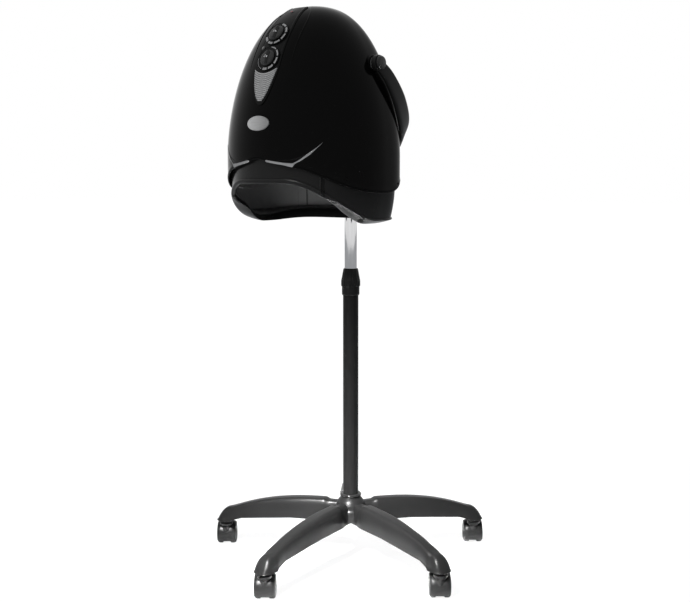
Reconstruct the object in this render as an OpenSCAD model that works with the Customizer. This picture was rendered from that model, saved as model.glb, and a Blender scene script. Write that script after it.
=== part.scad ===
// Hood hair dryer on a five-star stand with twin-wheel casters.
// Origin on the floor under the column, +Z up, the hood faces -Y.

/* [Hood] */
// Height of the hood's crown above the floor
crown_z = 1224; // [1150:1:1300]
// Height from the crown down to the widest section
crown_h = 308; // [260:1:340]
// Reach of the widest section towards the front
hood_front = 183; // [165:1:205]
// Reach of the widest section towards the neck
hood_back = 100; // [92:1:118]
// Half width of the widest section
hood_half_w = 186; // [170:1:200]
// Wall of the outer shell
shell_wall = 3; // [2:0.5:4]
// Lower edge of the shell below the crown, at the front
shell_front_drop = 310; // [300:1:330]
// How much lower the shell's edge lies at the sides
shell_side_drop = 73; // [40:1:80]
// How much the shell's edge rises again behind
shell_back_rise = 55; // [20:1:60]

/* [Skirt and visor] */
// Lower rim below the crown, at the front arch
rim_front_drop = 365; // [356:1:385]
// How much lower the rim lies at the sides
rim_side_drop = 82; // [60:1:90]
// How much the rim rises again behind
rim_back_rise = 8; // [0:1:30]
// Wall of the skirt panels
skirt_wall = 3; // [2:0.5:4]
// How far the skirt stands inside the shell
skirt_inset = 9; // [7:0.5:12]
// How far the rolled rim stands proud of the skirt
bead_out = 3.5; // [2.5:0.5:5]
// Half angle of the sliding visor
visor_half = 42; // [36:1:46]
// Width of a visor guide, as an angle
guide_turn = 3; // [2:0.5:4]
// Angle of the joint between side and rear skirt
rear_joint = 150; // [140:1:156]

/* [Controls] */
// Timer dial below the crown
timer_drop = 68; // [62:1:69]
// Temperature dial below the crown
heat_drop = 118; // [117:1:122]
// Radius of a dial's printed scale
scale_r = 26; // [22:0.5:28]
// Radius of a dial knob
knob_r = 17; // [14:0.5:19]
// Radius of a switch shaft
shaft_r = 3; // [2.5:0.25:3.5]
// Half width of the control panel
panel_half = 31; // [29:0.5:34]

/* [Fork] */
// Pivot axis below the crown
pivot_drop = 124; // [116:1:130]
// Pivot axis behind the widest section's centre
pivot_back = 2; // [-8:1:12]
// Width of a fork arm
arm_w = 27; // [22:1:32]
// Thickness of a fork arm
arm_t = 10; // [8:0.5:12]
// Radius of a pivot bolt
bolt_r = 5; // [4:0.5:6]
// Radius of a pivot hand knob
hand_knob_r = 14.5; // [12:0.5:17]

/* [Column] */
// Outside radius of the chrome tube
inner_tube_r = 13.5; // [11:0.5:14]
// Outside radius of the black tube
outer_tube_r = 17.25; // [16.5:0.25:19]
// Wall of both tubes
tube_wall = 1.5; // [1:0.25:2]
// Height of the black tube's top end
outer_tube_top = 622; // [560:1:640]
// Height of the chrome tube's lower end
inner_tube_foot = 250; // [220:1:280]
// Height of the clamp nut's top
nut_top = 670; // [665:1:690]

/* [Base] */
// Radius from the column to a caster stem
base_r = 310; // [280:1:340]
// Height of the hub's top
hub_top = 148; // [140:1:160]
// Radius of the hub
hub_r = 27; // [25:1:34]
// Width of a leg at the hub
leg_root_w = 44; // [38:1:50]
// Width of a leg at its tip
leg_tip_w = 36; // [32:1:42]
// Turn of the star against the hood
base_turn = 2.4; // [0:0.1:10]

/* [Casters] */
// Radius of a caster wheel
wheel_r = 25; // [22:0.5:27]
// Width of one wheel
wheel_w = 18; // [14:0.5:20]
// Distance from stem to axle
caster_trail = 18; // [14:0.5:20]
// Heading of the casters
caster_heading = -52.5; // [-180:0.5:180]

/* [Hidden] */
$fn = 48;

// Clearances
seat_gap = 0.3;
run_gap = 0.05;

// Exponents of the crown's profile and of the neck side's section
crown_m = 1.75;
crown_n = 2.35;
back_k = 3.5;

// The column runs behind the hood
socket_r = inner_tube_r + 4.5;
socket_back = hood_back + 5 + socket_r;
hood_y = -socket_back;
pivot_y = hood_y + pivot_back;
pivot_z = crown_z - pivot_drop;
wide_z = crown_z - crown_h;

// Fraction of the way from the crown to the widest section
function depth_t(z) = min(1, max(0, (crown_z - z) / crown_h));
// Width of the section at height z, as a share of the widest one
function swell(z) = pow(1 - pow(1 - depth_t(z), crown_m), 1 / crown_n);
// Slope of that share against height, for the surface normal at the front
function swell_slope(z) =
    crown_m / crown_n * pow(1 - pow(1 - depth_t(z), crown_m), 1 / crown_n - 1)
    * pow(1 - depth_t(z), crown_m - 1) / crown_h;
function spow(v, p) = sign(v) * pow(abs(v), p);

// A point of the hood's section: angle 0 is the front, 90 the left side
function section(a, s, inset) =
    let (c = cos(a), n = sin(a), p = 2 / back_k)
    c >= 0
        ? [n * (hood_half_w * s - inset), hood_y - c * (hood_front * s - inset)]
        : [spow(n, p) * (hood_half_w * s - inset), hood_y - spow(c, p) * (hood_back * s - inset)];
function at(a, z, s, inset) = concat(section(a, s, inset), [z]);

// The shell's lower edge and the skirt's rim, by angle
function smooth(x) = let (u = min(1, max(0, x))) u * u * (3 - 2 * u);
function shell_edge(a) =
    let (c = cos(a), side = crown_z - shell_front_drop - shell_side_drop)
    c >= 0 ? side + shell_side_drop * c * c : side + shell_back_rise * pow(-c, 1.2);
function fold(a) = abs(a > 180 ? a - 360 : a);
function rim_edge(a) =
    let (c = cos(a), side = crown_z - rim_front_drop - rim_side_drop)
    c >= 0 ? side + rim_side_drop * (1 - smooth((fold(a) - 18) / 68)) : side + rim_back_rise * c * c;

// The skirt draws in towards its rim
skirt_draw_z = crown_z - 364;
skirt_draw = 0.07;
function skirt_swell(z) = 1 - skirt_draw * pow(max(0, skirt_draw_z - z) / 85, 2);

// Flat list of the points of a list of rings
function flat(rings) = [for (r = rings) for (p = r) p];

// A closed skin over rings of points, closed on two pole points
module domed_rings(rings, pole_a, pole_b) {
    n = len(rings[0]);
    m = len(rings);
    points = concat(flat(rings), [pole_a, pole_b]);
    sides = [for (i = [0:m - 2]) for (j = [0:n - 1]) let (k = (j + 1) % n)
        each [[i * n + j, i * n + k, (i + 1) * n + k], [i * n + j, (i + 1) * n + k, (i + 1) * n + j]]];
    first = [for (j = [0:n - 1]) [m * n, (j + 1) % n, j]];
    last = [for (j = [0:n - 1]) [m * n + 1, (m - 1) * n + j, (m - 1) * n + (j + 1) % n]];
    polyhedron(points, concat(sides, first, last), convexity = 10);
}

// Triangles over one end of a loop of n points: the first and last "pairs" points face
// each other across a wall, and what is left between them is a fan
function cap_faces(n, pairs) = concat(
    [for (i = [0:1:pairs - 2]) each [[i, i + 1, n - 2 - i], [i, n - 2 - i, n - 1 - i]]],
    [for (i = [pairs - 1:1:n - pairs - 2]) [i, i + 1, n - pairs]]);

// A closed skin over loops of points, with a cap on the first and last loop
module capped_loops(loops, pairs = 1) {
    n = len(loops[0]);
    m = len(loops);
    sides = [for (i = [0:m - 2]) for (j = [0:n - 1]) let (k = (j + 1) % n)
        each [[i * n + j, i * n + k, (i + 1) * n + k], [i * n + j, (i + 1) * n + k, (i + 1) * n + j]]];
    caps = [for (f = cap_faces(n, pairs)) each [[f[2], f[1], f[0]], [for (v = f) (m - 1) * n + v]]];
    polyhedron(flat(loops), concat(sides, caps), convexity = 10);
}

// Children stand on the front of the hood, their +Z along the surface normal
function front_tilt(z) = atan(hood_front * swell_slope(z));
module on_front(z, lift = 0) {
    translate([0, hood_y - hood_front * swell(z), z])
        rotate([90 - front_tilt(z), 0, 0]) translate([0, 0, lift]) children();
}
// The same, aside of the centreline by the angle a of the section
module on_face(a, z, lift = 0) {
    p = section(a, swell(z), 0);
    translate([p[0], p[1], z]) rotate([0, 0, a]) rotate([90 - front_tilt(z), 0, 0])
        translate([0, 0, lift]) children();
}

// A point of the face lifted along the surface normal
function raised(a, z, lift) = let (p = section(a, swell(z), 0), t = front_tilt(z))
    [p[0] + lift * sin(a) * cos(t), p[1] - lift * cos(a) * cos(t), z + lift * sin(t)];

// Hood shell
ring_steps = 56;
shell_rows = 14;
timer_z = crown_z - timer_drop;
heat_z = crown_z - heat_drop;
panel_t = 2;
panel_gap = 0.5;
cup_r = scale_r + 1.5;
cup_deep = 9;
lamp_r = 3.2;
power_lamp_z = crown_z - 20;
heat_lamp_z = crown_z - 95;
heat_lamp_turn = -10;
gland_turn = 197;
gland_z = crown_z - 250;
gland_r = 8;
boss_r = 17;
function shell_row(v, inset) = [for (j = [0:ring_steps - 1]) let (
    a = 360 * j / ring_steps,
    z = crown_z - inset - (crown_z - inset - shell_edge(a)) * pow(v, 1.7))
    at(a, z, swell(z + inset), inset)];
module hood_shell() {
    outer = [for (i = [1:shell_rows]) shell_row(i / shell_rows, 0)];
    inner = [for (i = [shell_rows:-1:1]) shell_row(i / shell_rows, shell_wall)];
    color("#0b0b0c") difference() {
        domed_rings(concat(outer, inner), [0, hood_y, crown_z], [0, hood_y, crown_z - shell_wall]);
        for (z = [timer_z, heat_z]) on_front(z, -20) cylinder(r = cup_r + seat_gap, h = 40);
        on_front(power_lamp_z, -20) cylinder(r = lamp_r + seat_gap, h = 40);
        on_face(heat_lamp_turn, heat_lamp_z, -20) cylinder(r = lamp_r + seat_gap, h = 40);
        translate([-hood_half_w, pivot_y, pivot_z]) rotate([0, 90, 0])
            cylinder(r = boss_r + seat_gap, h = 2 * hood_half_w);
        gland_place() translate([0, 0, -25]) cylinder(r = gland_r + seat_gap, h = 50);
        for (a = screw_turns) screw_place(a) translate([0, 0, -10]) cylinder(r = screw_r + seat_gap, h = 20);
    }
}

// Control panel with a cup under each dial
panel_cols = 8;
panel_rows = 24;
panel_top_z = crown_z - 9;
panel_low_z = crown_z - 210;
// Half width of the panel at height z: it narrows to the crown, and to a tongue below
function panel_half_at(z) = let (u = max(0, (grille_top_z - z) / (grille_top_z - panel_low_z)))
    panel_half * (1 - 0.4 * pow(max(0, (z - timer_z) / timer_drop), 2)) * sqrt(1 - tongue_share * pow(u, 1.3));
// Angle of the section at which the face stands x aside of the centreline
function panel_turn(z, x) = asin(max(-1, min(1, x / (hood_half_w * swell(z)))));
function panel_loop(z, lift) = [for (i = [0:panel_cols]) let (
    x = panel_half_at(z) * (2 * i / panel_cols - 1)) raised(panel_turn(z, x), z, lift)];
module control_panel() {
    loops = [for (i = [panel_rows:-1:0]) let (
        z = panel_top_z + (panel_low_z - panel_top_z) * pow(i / panel_rows, 1.2),
        low = panel_loop(z, panel_gap),
        up = panel_loop(z, panel_gap + panel_t))
        concat(low, [for (j = [panel_cols:-1:0]) up[j]])];
    color("#17181a") difference() {
        union() {
            capped_loops(loops, panel_cols + 1);
            for (z = [timer_z, heat_z]) on_front(z, -cup_deep) cylinder(r = cup_r, h = cup_deep + panel_t + 1);
        }
        for (z = [timer_z, heat_z]) on_front(z, -20) cylinder(r = shaft_r + 0.5, h = 40);
        on_front(power_lamp_z, -20) cylinder(r = lamp_r + seat_gap, h = 40);
        on_face(heat_lamp_turn, heat_lamp_z, -20) cylinder(r = lamp_r + seat_gap, h = 40);
    }
}

// Dials
scale_t = 0.8;
scale_lift = panel_t + 1 + 0.05;
knob_h = 13;
knob_lift = scale_lift + scale_t + seat_gap;
module dial_scale(z) {
    color("#9a9c9e") on_front(z, scale_lift) difference() {
        cylinder(r = scale_r, h = scale_t);
        translate([0, 0, -1]) cylinder(r = shaft_r + 0.5, h = scale_t + 2);
    }
}
module dial_knob(z) {
    color("#101113") on_front(z, knob_lift) difference() {
        union() {
            cylinder(r1 = knob_r, r2 = knob_r - 1.5, h = 4);
            cylinder(r1 = knob_r - 4, r2 = knob_r - 5.5, h = 5.5);
            translate([-2.75, -knob_r + 2, 0]) cube([5.5, 2 * knob_r - 4, knob_h]);
        }
        translate([0, 0, -1]) cylinder(r = shaft_r + run_gap, h = knob_h - 3);
    }
}
module timer_scale() { dial_scale(timer_z); }
module heat_scale() { dial_scale(heat_z); }
module timer_knob() { dial_knob(timer_z); }
module heat_knob() { dial_knob(heat_z); }
shaft_top = knob_lift + knob_h - 5;
module timer_unit() {
    color("#c9c3a8") on_front(timer_z) {
        translate([0, 0, -cup_deep - 22 - seat_gap]) cylinder(r = 20, h = 22);
        translate([0, 0, -cup_deep - 1]) cylinder(r = shaft_r, h = shaft_top + cup_deep + 1);
    }
}
module heat_switch() {
    color("#d8d8d2") on_front(heat_z) {
        translate([-15, -15, -cup_deep - 22 - seat_gap]) cube([30, 30, 22]);
        translate([0, 0, -cup_deep - 1]) cylinder(r = shaft_r, h = shaft_top + cup_deep + 1);
    }
}
module lamp() {
    translate([0, 0, -6]) cylinder(r = lamp_r, h = 6 + panel_t + 0.5);
    translate([0, 0, panel_t + 0.5]) scale([1, 1, 0.5]) sphere(r = lamp_r);
}
module power_lamp() { color("#a81818") on_front(power_lamp_z) lamp(); }
module heat_lamp() { color("#b9b2a4") on_face(heat_lamp_turn, heat_lamp_z) lamp(); }

// Ribbed grille below the temperature dial: a tongue that follows the shell
grille_top_z = crown_z - 136;
grille_low_z = crown_z - 202;
grille_half = 27.5;
grille_ribs = 13;
grille_cols = 8;
grille_sag = 9.5;
// Share of the width that a tongue has lost at its tip
tongue_share = 0.985;
grille_lift = panel_gap + panel_t + 0.3;
rib_low = 0.5;
rib_high = 1.5;
function grille_half_at(u) = grille_half * sqrt(1 - tongue_share * pow(u, 1.05));
// A row of the grille at the share u of its height: it sags round the dial above
function grille_row(u, lift) = [for (j = [0:grille_cols]) let (
    s = 2 * j / grille_cols - 1,
    z = grille_top_z + (grille_low_z - grille_top_z) * u - grille_sag * (1 - s * s) * (1 - u))
    raised(panel_turn(z, grille_half_at(u) * s), z, lift)];
module grille() {
    rows = 2 * grille_ribs;
    loops = [for (i = [rows:-1:0]) let (
        low = grille_row(i / rows, grille_lift),
        up = grille_row(i / rows, grille_lift + (i % 2 == 0 ? rib_low : rib_high)))
        concat(low, [for (j = [grille_cols:-1:0]) up[j]])];
    color("#a9abad") capped_loops(loops, grille_cols + 1);
}

// Bare oval badge plate
badge_z = crown_z - 246;
badge_half_w = 28;
badge_half_h = 14.5;
badge_t = 2.5;
badge_steps = 28;
function badge_ring(r, lift) = [for (j = [0:badge_steps - 1]) let (
    q = -360 * j / badge_steps,
    z = badge_z + r * badge_half_h * sin(q))
    raised(panel_turn(z, r * badge_half_w * cos(q)), z, lift)];
module badge() {
    back = raised(0, badge_z, seat_gap);
    face = raised(0, badge_z, badge_t + 0.5);
    color("#b9bbbd") domed_rings([badge_ring(0.5, seat_gap), badge_ring(1, seat_gap), badge_ring(1, badge_t - 1),
        badge_ring(0.92, badge_t), badge_ring(0.5, badge_t + 0.4)], back, face);
}

// Skirt panels: a wall with a rolled rim, between two angles
skirt_top_over = 12;
bead_h = 11;
bead_steps = 7;
wall_rows = 4;
// One loop across the wall: down the outside, round the bead and up the inside
function skirt_loop(a, lip, over) = let (
    top = shell_edge(a) + over,
    rim = rim_edge(a),
    out = [for (i = [0:wall_rows]) let (z = top - (top - rim - bead_h) * i / wall_rows)
        at(a, z, skirt_swell(z), skirt_inset - (i == 0 ? lip : 0))],
    bead = [for (i = [1:bead_steps]) let (
        q = 180 * i / (bead_steps + 1),
        z = rim + bead_h / 2 * (1 + cos(q)))
        at(a, z, skirt_swell(z), skirt_inset - bead_out * sin(q))],
    in = [for (i = [wall_rows:-1:0]) let (z = top - (top - rim) * i / wall_rows)
        at(a, z, skirt_swell(z), skirt_inset + skirt_wall)])
    concat(out, bead, in);
module skirt_panel(from, to, steps, lip = 0, over = skirt_top_over) {
    capped_loops([for (i = [steps:-1:0]) skirt_loop(from + (to - from) * i / steps, lip, over)], wall_rows + 1);
}
seat_lip = skirt_inset - shell_wall - seat_gap;
joint_gap = 0.12;
guide_end = visor_half + guide_turn;
module visor() {
    color("#2a2b2e") skirt_panel(-visor_half + joint_gap, visor_half - joint_gap, 20);
}
module visor_guides() {
    color("#1b1c1e") for (side = [-1, 1]) {
        ends = side > 0 ? [visor_half, guide_end] : [-guide_end, -visor_half];
        skirt_panel(ends[0], ends[1], 2, seat_lip);
    }
}
module side_skirt_left() {
    color("#2a2b2e") screw_drilled() skirt_panel(guide_end + joint_gap, rear_joint - joint_gap, 20, seat_lip);
}
module side_skirt_right() {
    color("#2a2b2e") screw_drilled() skirt_panel(360 - rear_joint + joint_gap, 360 - guide_end - joint_gap, 20,
        seat_lip);
}
module rear_skirt() {
    color("#2a2b2e") screw_drilled() skirt_panel(rear_joint, 360 - rear_joint, 16, seat_lip);
}

// Screws that hold the skirt panels in the shell
screw_turns = [58, 105, 135, 180, 225, 255, 302];
screw_r = 1.8;
module screw_place(a) {
    z = shell_edge(a) + 7;
    p = section(a, swell(z), 0);
    q = section(a + 1, swell(z), 0);
    turn = atan2(q[1] - p[1], q[0] - p[0]);
    translate([p[0], p[1], z]) rotate([0, 0, turn]) rotate([90, 0, 0]) children();
}
module screw_drilled() {
    difference() {
        children();
        for (a = screw_turns) screw_place(a) translate([0, 0, -14]) cylinder(r = screw_r + 0.2, h = 20);
    }
}
module skirt_screws() {
    color("#8c8e90") for (a = screw_turns) screw_place(a) {
        translate([0, 0, -11.8]) cylinder(r = screw_r, h = 12.3);
        translate([0, 0, seat_gap]) cylinder(r1 = 3.4, r2 = 2.4, h = 1.4);
    }
}

// Perforated inner bowl round the head
liner_top_z = crown_z - 160;
liner_h = 150;
liner_t = 2;
liner_rows = 9;
liner_full = 0.78;
visor_clear = 2;
liner_steps = 56;
function liner_edge(a) = shell_edge(a) + skirt_top_over - 6;
function liner_share(z, inset) = let (t = min(1, max(0, (liner_top_z - inset - z) / liner_h)))
    liner_full * pow(1 - pow(1 - t, 2), 1 / 2.2);
liner_hem = skirt_inset + skirt_wall + 0.5;
function liner_row(v, inset) = [for (j = [0:liner_steps - 1]) let (
    a = 360 * j / liner_steps,
    edge = liner_edge(a),
    z = liner_top_z - inset - (liner_top_z - inset - edge) * pow(v, 1.5),
    u = smooth((v - 0.62) / 0.38),
    s = liner_share(z, inset) + (skirt_swell(z) - liner_full) * u)
    at(a, z, s, inset + (liner_hem + visor_clear * smooth((cos(a) - 0.45) / 0.2)) * u)];
module inner_liner() {
    outer = [for (i = [1:liner_rows]) liner_row(i / liner_rows, 0)];
    inner = [for (i = [liner_rows:-1:1]) liner_row(i / liner_rows, liner_t)];
    color("#3a3b3d") domed_rings(concat(outer, inner), [0, hood_y, liner_top_z], [0, hood_y, liner_top_z - liner_t]);
}

// Motor, blower and heater above the liner
mount_z = crown_z - 106;
mount_t = 3;
motor_r = 31;
motor_h = 48;
blower_r = 60;
blower_h = 26;
blower_blades = 14;
heater_z = crown_z - 154;
post_r = 3;
post_ring = 68;
module motor_mount() {
    color("#8d8f91") difference() {
        translate([0, 0, mount_z]) linear_extrude(mount_t)
            polygon([for (j = [0:47]) section(360 * j / 48, swell(mount_z + mount_t), shell_wall + 2)]);
        translate([0, hood_y, mount_z - 1]) cylinder(r = 14, h = mount_t + 2);
        for (k = [0:7]) translate([0, hood_y, mount_z - 1]) rotate([0, 0, 45 * k + 22.5])
            translate([50, 0, 0]) cylinder(r = 12, h = mount_t + 2);
        on_front(heat_z, -40) cylinder(r = cup_r + 1.5, h = 40);
        for (side = [-1, 1]) at_pivot(side, boss_in_x - 1) cylinder(r = boss_r + 6, h = 60);
    }
}
module motor() {
    color("#77797c") translate([0, hood_y, mount_z + mount_t]) {
        cylinder(r = motor_r, h = motor_h - 8);
        translate([0, 0, motor_h - 8]) cylinder(r1 = motor_r, r2 = motor_r - 8, h = 8);
        translate([0, 0, -mount_t - blower_h - 6]) cylinder(r = shaft_r, h = blower_h + mount_t + 7);
    }
}
module blower_wheel() {
    color("#d9d4c4") translate([0, hood_y, mount_z - blower_h - 4]) difference() {
        union() {
            cylinder(r = blower_r, h = 2);
            cylinder(r = 9, h = blower_h);
            for (k = [0:blower_blades - 1]) rotate([0, 0, 360 / blower_blades * k])
                translate([30, 0, 1]) rotate([0, 0, 25]) cube([28, 1.6, blower_h - 1]);
        }
        translate([0, 0, -1]) cylinder(r = shaft_r + run_gap, h = blower_h + 2);
    }
}
module heater() {
    color("#b8a47a") translate([0, hood_y, heater_z]) {
        difference() {
            cylinder(r = post_ring + 4, h = 10);
            translate([0, 0, -1]) cylinder(r = post_ring - 6, h = 12);
        }
        for (k = [0:1]) rotate([0, 0, 45 + 90 * k]) translate([-post_ring, -1, 0]) cube([2 * post_ring, 2, 9]);
        for (r = [20, 36, 52]) translate([0, 0, 5]) rotate_extrude() translate([r, 0]) circle(r = 2.2, $fn = 16);
        for (k = [0:2]) rotate([0, 0, 30 + 120 * k]) translate([post_ring - 1, 0, 5])
            cylinder(r = post_r, h = mount_z - heater_z - 5);
    }
}
module thermal_cutout() {
    color("#9fa2a6") translate([-44, hood_y, heater_z + 10]) {
        translate([-22, -9, 0]) cube([22, 18, 1.5]);
        translate([-12, 0, 1.5]) cylinder(r = 7, h = 5);
    }
}

// Cord gland at the back of the shell
module gland_place() {
    p = section(gland_turn, swell(gland_z), 0);
    translate([p[0], p[1], gland_z]) rotate([-90, 0, 0]) children();
}
gland_bore_r = 3.75;
gland_len = 22;
module cord_gland() {
    color("#131416") gland_place() difference() {
        union() {
            translate([0, 0, -14]) cylinder(r = gland_r, h = gland_len);
            translate([0, 0, 4]) cylinder(r = gland_r + 3, h = 4);
            translate([0, 0, -12]) cylinder(r = gland_r + 4, h = 5);
        }
        translate([0, 0, -15]) cylinder(r = gland_bore_r, h = gland_len + 2);
    }
}

// Side bosses and pivot hardware, left and right
boss_in_x = hood_half_w - 79;
boss_out_x = hood_half_w - 33;
washer_t = 2;
tine_x = boss_out_x + washer_t + 2 * seat_gap;
tine_t = 11;
hand_knob_x = tine_x + tine_t + seat_gap;
hand_knob_h = 8;
module at_pivot(side, x) {
    translate([0, pivot_y, pivot_z]) rotate([0, 90 * side, 0]) translate([0, 0, x]) children();
}
module side_bosses() {
    color("#15161a") for (side = [-1, 1]) at_pivot(side, boss_in_x) difference() {
        union() {
            cylinder(r = boss_r, h = boss_out_x - boss_in_x);
            cylinder(r = boss_r + 5, h = 4);
        }
        translate([0, 0, -1]) cylinder(r = bolt_r + run_gap, h = boss_out_x);
    }
}
module pivot_bolts() {
    color("#8f9296") for (side = [-1, 1]) at_pivot(side, boss_in_x - 5.3) {
        cylinder(r = bolt_r, h = hand_knob_x + hand_knob_h - boss_in_x);
        cylinder(r = bolt_r + 4, h = 5);
    }
}
module friction_washers() {
    color("#5b4a3a") for (side = [-1, 1]) at_pivot(side, boss_out_x + seat_gap) difference() {
        cylinder(r = boss_r - 3, h = washer_t);
        translate([0, 0, -1]) cylinder(r = bolt_r + 0.3, h = washer_t + 2);
    }
}
module hand_knob(side) {
    color("#1d1e20") at_pivot(side, hand_knob_x) difference() {
        union() {
            cylinder(r = hand_knob_r, h = hand_knob_h - 4);
            translate([0, 0, hand_knob_h - 4]) cylinder(r1 = hand_knob_r, r2 = hand_knob_r - 5, h = 4);
        }
        translate([0, 0, -1]) cylinder(r = bolt_r + run_gap, h = hand_knob_h - 3);
    }
}
module hand_knob_left() { hand_knob(1); }
module hand_knob_right() { hand_knob(-1); }

// Fork: a socket on the chrome tube and two flat arms that rise to the pivots
socket_z = crown_z - 329;
socket_h = 58;
arm_steps = 30;
arm_profile_n = 12;
// Points of an arm's centreline, from the socket round the corner of the hood and up to the pivot
arm_path = [
    [-60, hood_y + socket_back, socket_z + 36],
    [0, hood_y + socket_back, socket_z + 36],
    [62, hood_y + socket_back - 1, socket_z + 37],
    [120, hood_y + socket_back - 8, socket_z + 45],
    [hood_half_w - 22, hood_y + socket_back - 30, socket_z + 77],
    [hood_half_w - 8, hood_y + socket_back - 63, socket_z + 127],
    [hood_half_w - 13, hood_y + 28, pivot_z - 30],
    [tine_x + tine_t / 2, pivot_y, pivot_z],
    [tine_x + tine_t / 2 - 8, pivot_y - 28, pivot_z + 26]
];
// An arm is broadest midway
arm_swell = 11;
arm_spans = len(arm_path) - 3;
// Smooth curve through those points
function arm_point(u) = let (
    i = min(arm_spans - 1, floor(u * arm_spans)),
    w = u * arm_spans - i,
    a = arm_path[i], b = arm_path[i + 1], c = arm_path[i + 2], d = arm_path[i + 3])
    0.5 * (2 * b + (c - a) * w + (2 * a - 5 * b + 4 * c - d) * w * w + (3 * b - a - 3 * c + d) * w * w * w);
function unit(p) = p / norm(p);
function arm_loop(u, side) = let (
    c = arm_point(u),
    t = unit(arm_point(min(1, u + 0.01)) - arm_point(max(0, u - 0.01))),
    away = unit([c[0] * (1 - u) * 0.6 + (0.15 + u) * 150, (c[1] - hood_y) * pow(1 - u, 1.5), 0]),
    side_dir = unit(cross(t, away)),
    face_dir = cross(side_dir, t),
    half_w = (arm_w + arm_swell * pow(sin(180 * u), 2)) / 2)
    [for (j = [0:arm_profile_n - 1]) let (
        q = 360 * (j + 0.5) / arm_profile_n,
        p = c + side_dir * (half_w * spow(cos(q), 0.55)) + face_dir * (arm_t / 2 * spow(sin(q), 0.55)))
        [side * p[0], p[1], p[2]]];
module arm(side) {
    loops = [for (i = [0:arm_steps]) arm_loop(i / arm_steps, side)];
    if (side > 0) capped_loops(loops);
    else capped_loops([for (i = [arm_steps:-1:0]) loops[i]]);
}
module fork() {
    color("#3b3c3f") difference() {
        union() {
            for (side = [-1, 1]) {
                arm(side);
                at_pivot(side, tine_x) cylinder(r = boss_r - 0.5, h = tine_t);
            }
            translate([0, 0, socket_z]) cylinder(r = socket_r, h = socket_h);
        }
        translate([0, 0, socket_z - 1]) cylinder(r = inner_tube_r + run_gap, h = socket_h - 5);
        for (side = [-1, 1]) at_pivot(side, tine_x - 8) cylinder(r = bolt_r + run_gap, h = tine_t + 16);
        for (side = [-1, 1]) at_pivot(side, tine_x - 20) cylinder(r = boss_r + 3, h = 20);
        for (side = [-1, 1]) at_pivot(side, tine_x + tine_t) cylinder(r = boss_r + 3, h = 20);
    }
}

// Column
hub_foot = 92;
tube_top = socket_z + socket_h - 8;
module chrome_tube() {
    color("#c8cacc") translate([0, 0, inner_tube_foot]) difference() {
        cylinder(r = inner_tube_r, h = tube_top - inner_tube_foot);
        translate([0, 0, -1]) cylinder(r = inner_tube_r - tube_wall, h = tube_top - inner_tube_foot + 2);
    }
}
module tube_cap() {
    color("#151618") translate([0, 0, tube_top - 12]) cylinder(r = inner_tube_r - tube_wall - 0.1, h = 12);
}
bush_r = outer_tube_r - tube_wall - run_gap;
module guide_bush() {
    color("#e2e0d8") translate([0, 0, inner_tube_foot - 8]) {
        cylinder(r = bush_r, h = 8 - seat_gap);
        cylinder(r = inner_tube_r - tube_wall - 0.1, h = 26);
    }
}
tube_foot = hub_foot + 12;
module outer_tube() {
    color("#141517") translate([0, 0, tube_foot]) difference() {
        cylinder(r = outer_tube_r, h = outer_tube_top - tube_foot);
        translate([0, 0, -1]) cylinder(r = outer_tube_r - tube_wall, h = outer_tube_top - tube_foot + 2);
    }
}
socket_foot_z = nut_top - 60;
clamp_r = outer_tube_r + 3;
nut_foot_z = nut_top - 40;
thread_r = outer_tube_r + 0.8;
module clamp_socket() {
    color("#121315") difference() {
        union() {
            translate([0, 0, socket_foot_z]) cylinder(r = clamp_r - 0.6, h = nut_foot_z - socket_foot_z - seat_gap);
            translate([0, 0, socket_foot_z]) cylinder(r = thread_r + 0.6, h = nut_foot_z - socket_foot_z + 16);
        }
        translate([0, 0, socket_foot_z - 1]) cylinder(r = outer_tube_r + 0.1, h = outer_tube_top - socket_foot_z + 1.4);
        translate([0, 0, socket_foot_z]) cylinder(r = inner_tube_r + 1.5, h = 60);
    }
}
bush_top_z = nut_top - 8;
module split_bush() {
    color("#e2e0d8") difference() {
        union() {
            translate([0, 0, outer_tube_top - 24]) cylinder(r = outer_tube_r - tube_wall - 0.1, h = 24);
            translate([0, 0, outer_tube_top]) cylinder(r = inner_tube_r + 1.3, h = bush_top_z - outer_tube_top);
        }
        translate([0, 0, outer_tube_top - 30]) cylinder(r = inner_tube_r + run_gap, h = 90);
        translate([0, -0.75, outer_tube_top - 30]) cube([40, 1.5, 90]);
    }
}
nut_flutes = 12;
module clamp_nut() {
    color("#101113") translate([0, 0, nut_foot_z]) difference() {
        union() {
            cylinder(r = clamp_r + 1.2, h = 12);
            translate([0, 0, 12]) cylinder(r1 = clamp_r + 1.2, r2 = inner_tube_r + 3, h = nut_top - nut_foot_z - 12);
        }
        translate([0, 0, -1]) cylinder(r = thread_r + 0.6 + run_gap, h = 18);
        translate([0, 0, -1]) cylinder(r = inner_tube_r + 1.6, h = nut_top - nut_foot_z - 6);
        translate([0, 0, -1]) cylinder(r = inner_tube_r + 0.3, h = nut_top - nut_foot_z + 2);
        for (k = [0:nut_flutes - 1]) rotate([0, 0, 360 / nut_flutes * k])
            translate([clamp_r + 2.6, 0, -1]) cylinder(r = 2, h = 14, $fn = 16);
    }
}

// Star base: five hollow legs round a hub
leg_count = 5;
stem_hole_r = 5.5;
leg_wall = 4;
tip_r = base_r + leg_tip_w / 2;
hub_slope = 5;
leg_top_root = hub_top - 9;
leg_low_tip = 2 * wheel_r + 13;
leg_top_tip = leg_low_tip + 26;
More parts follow.
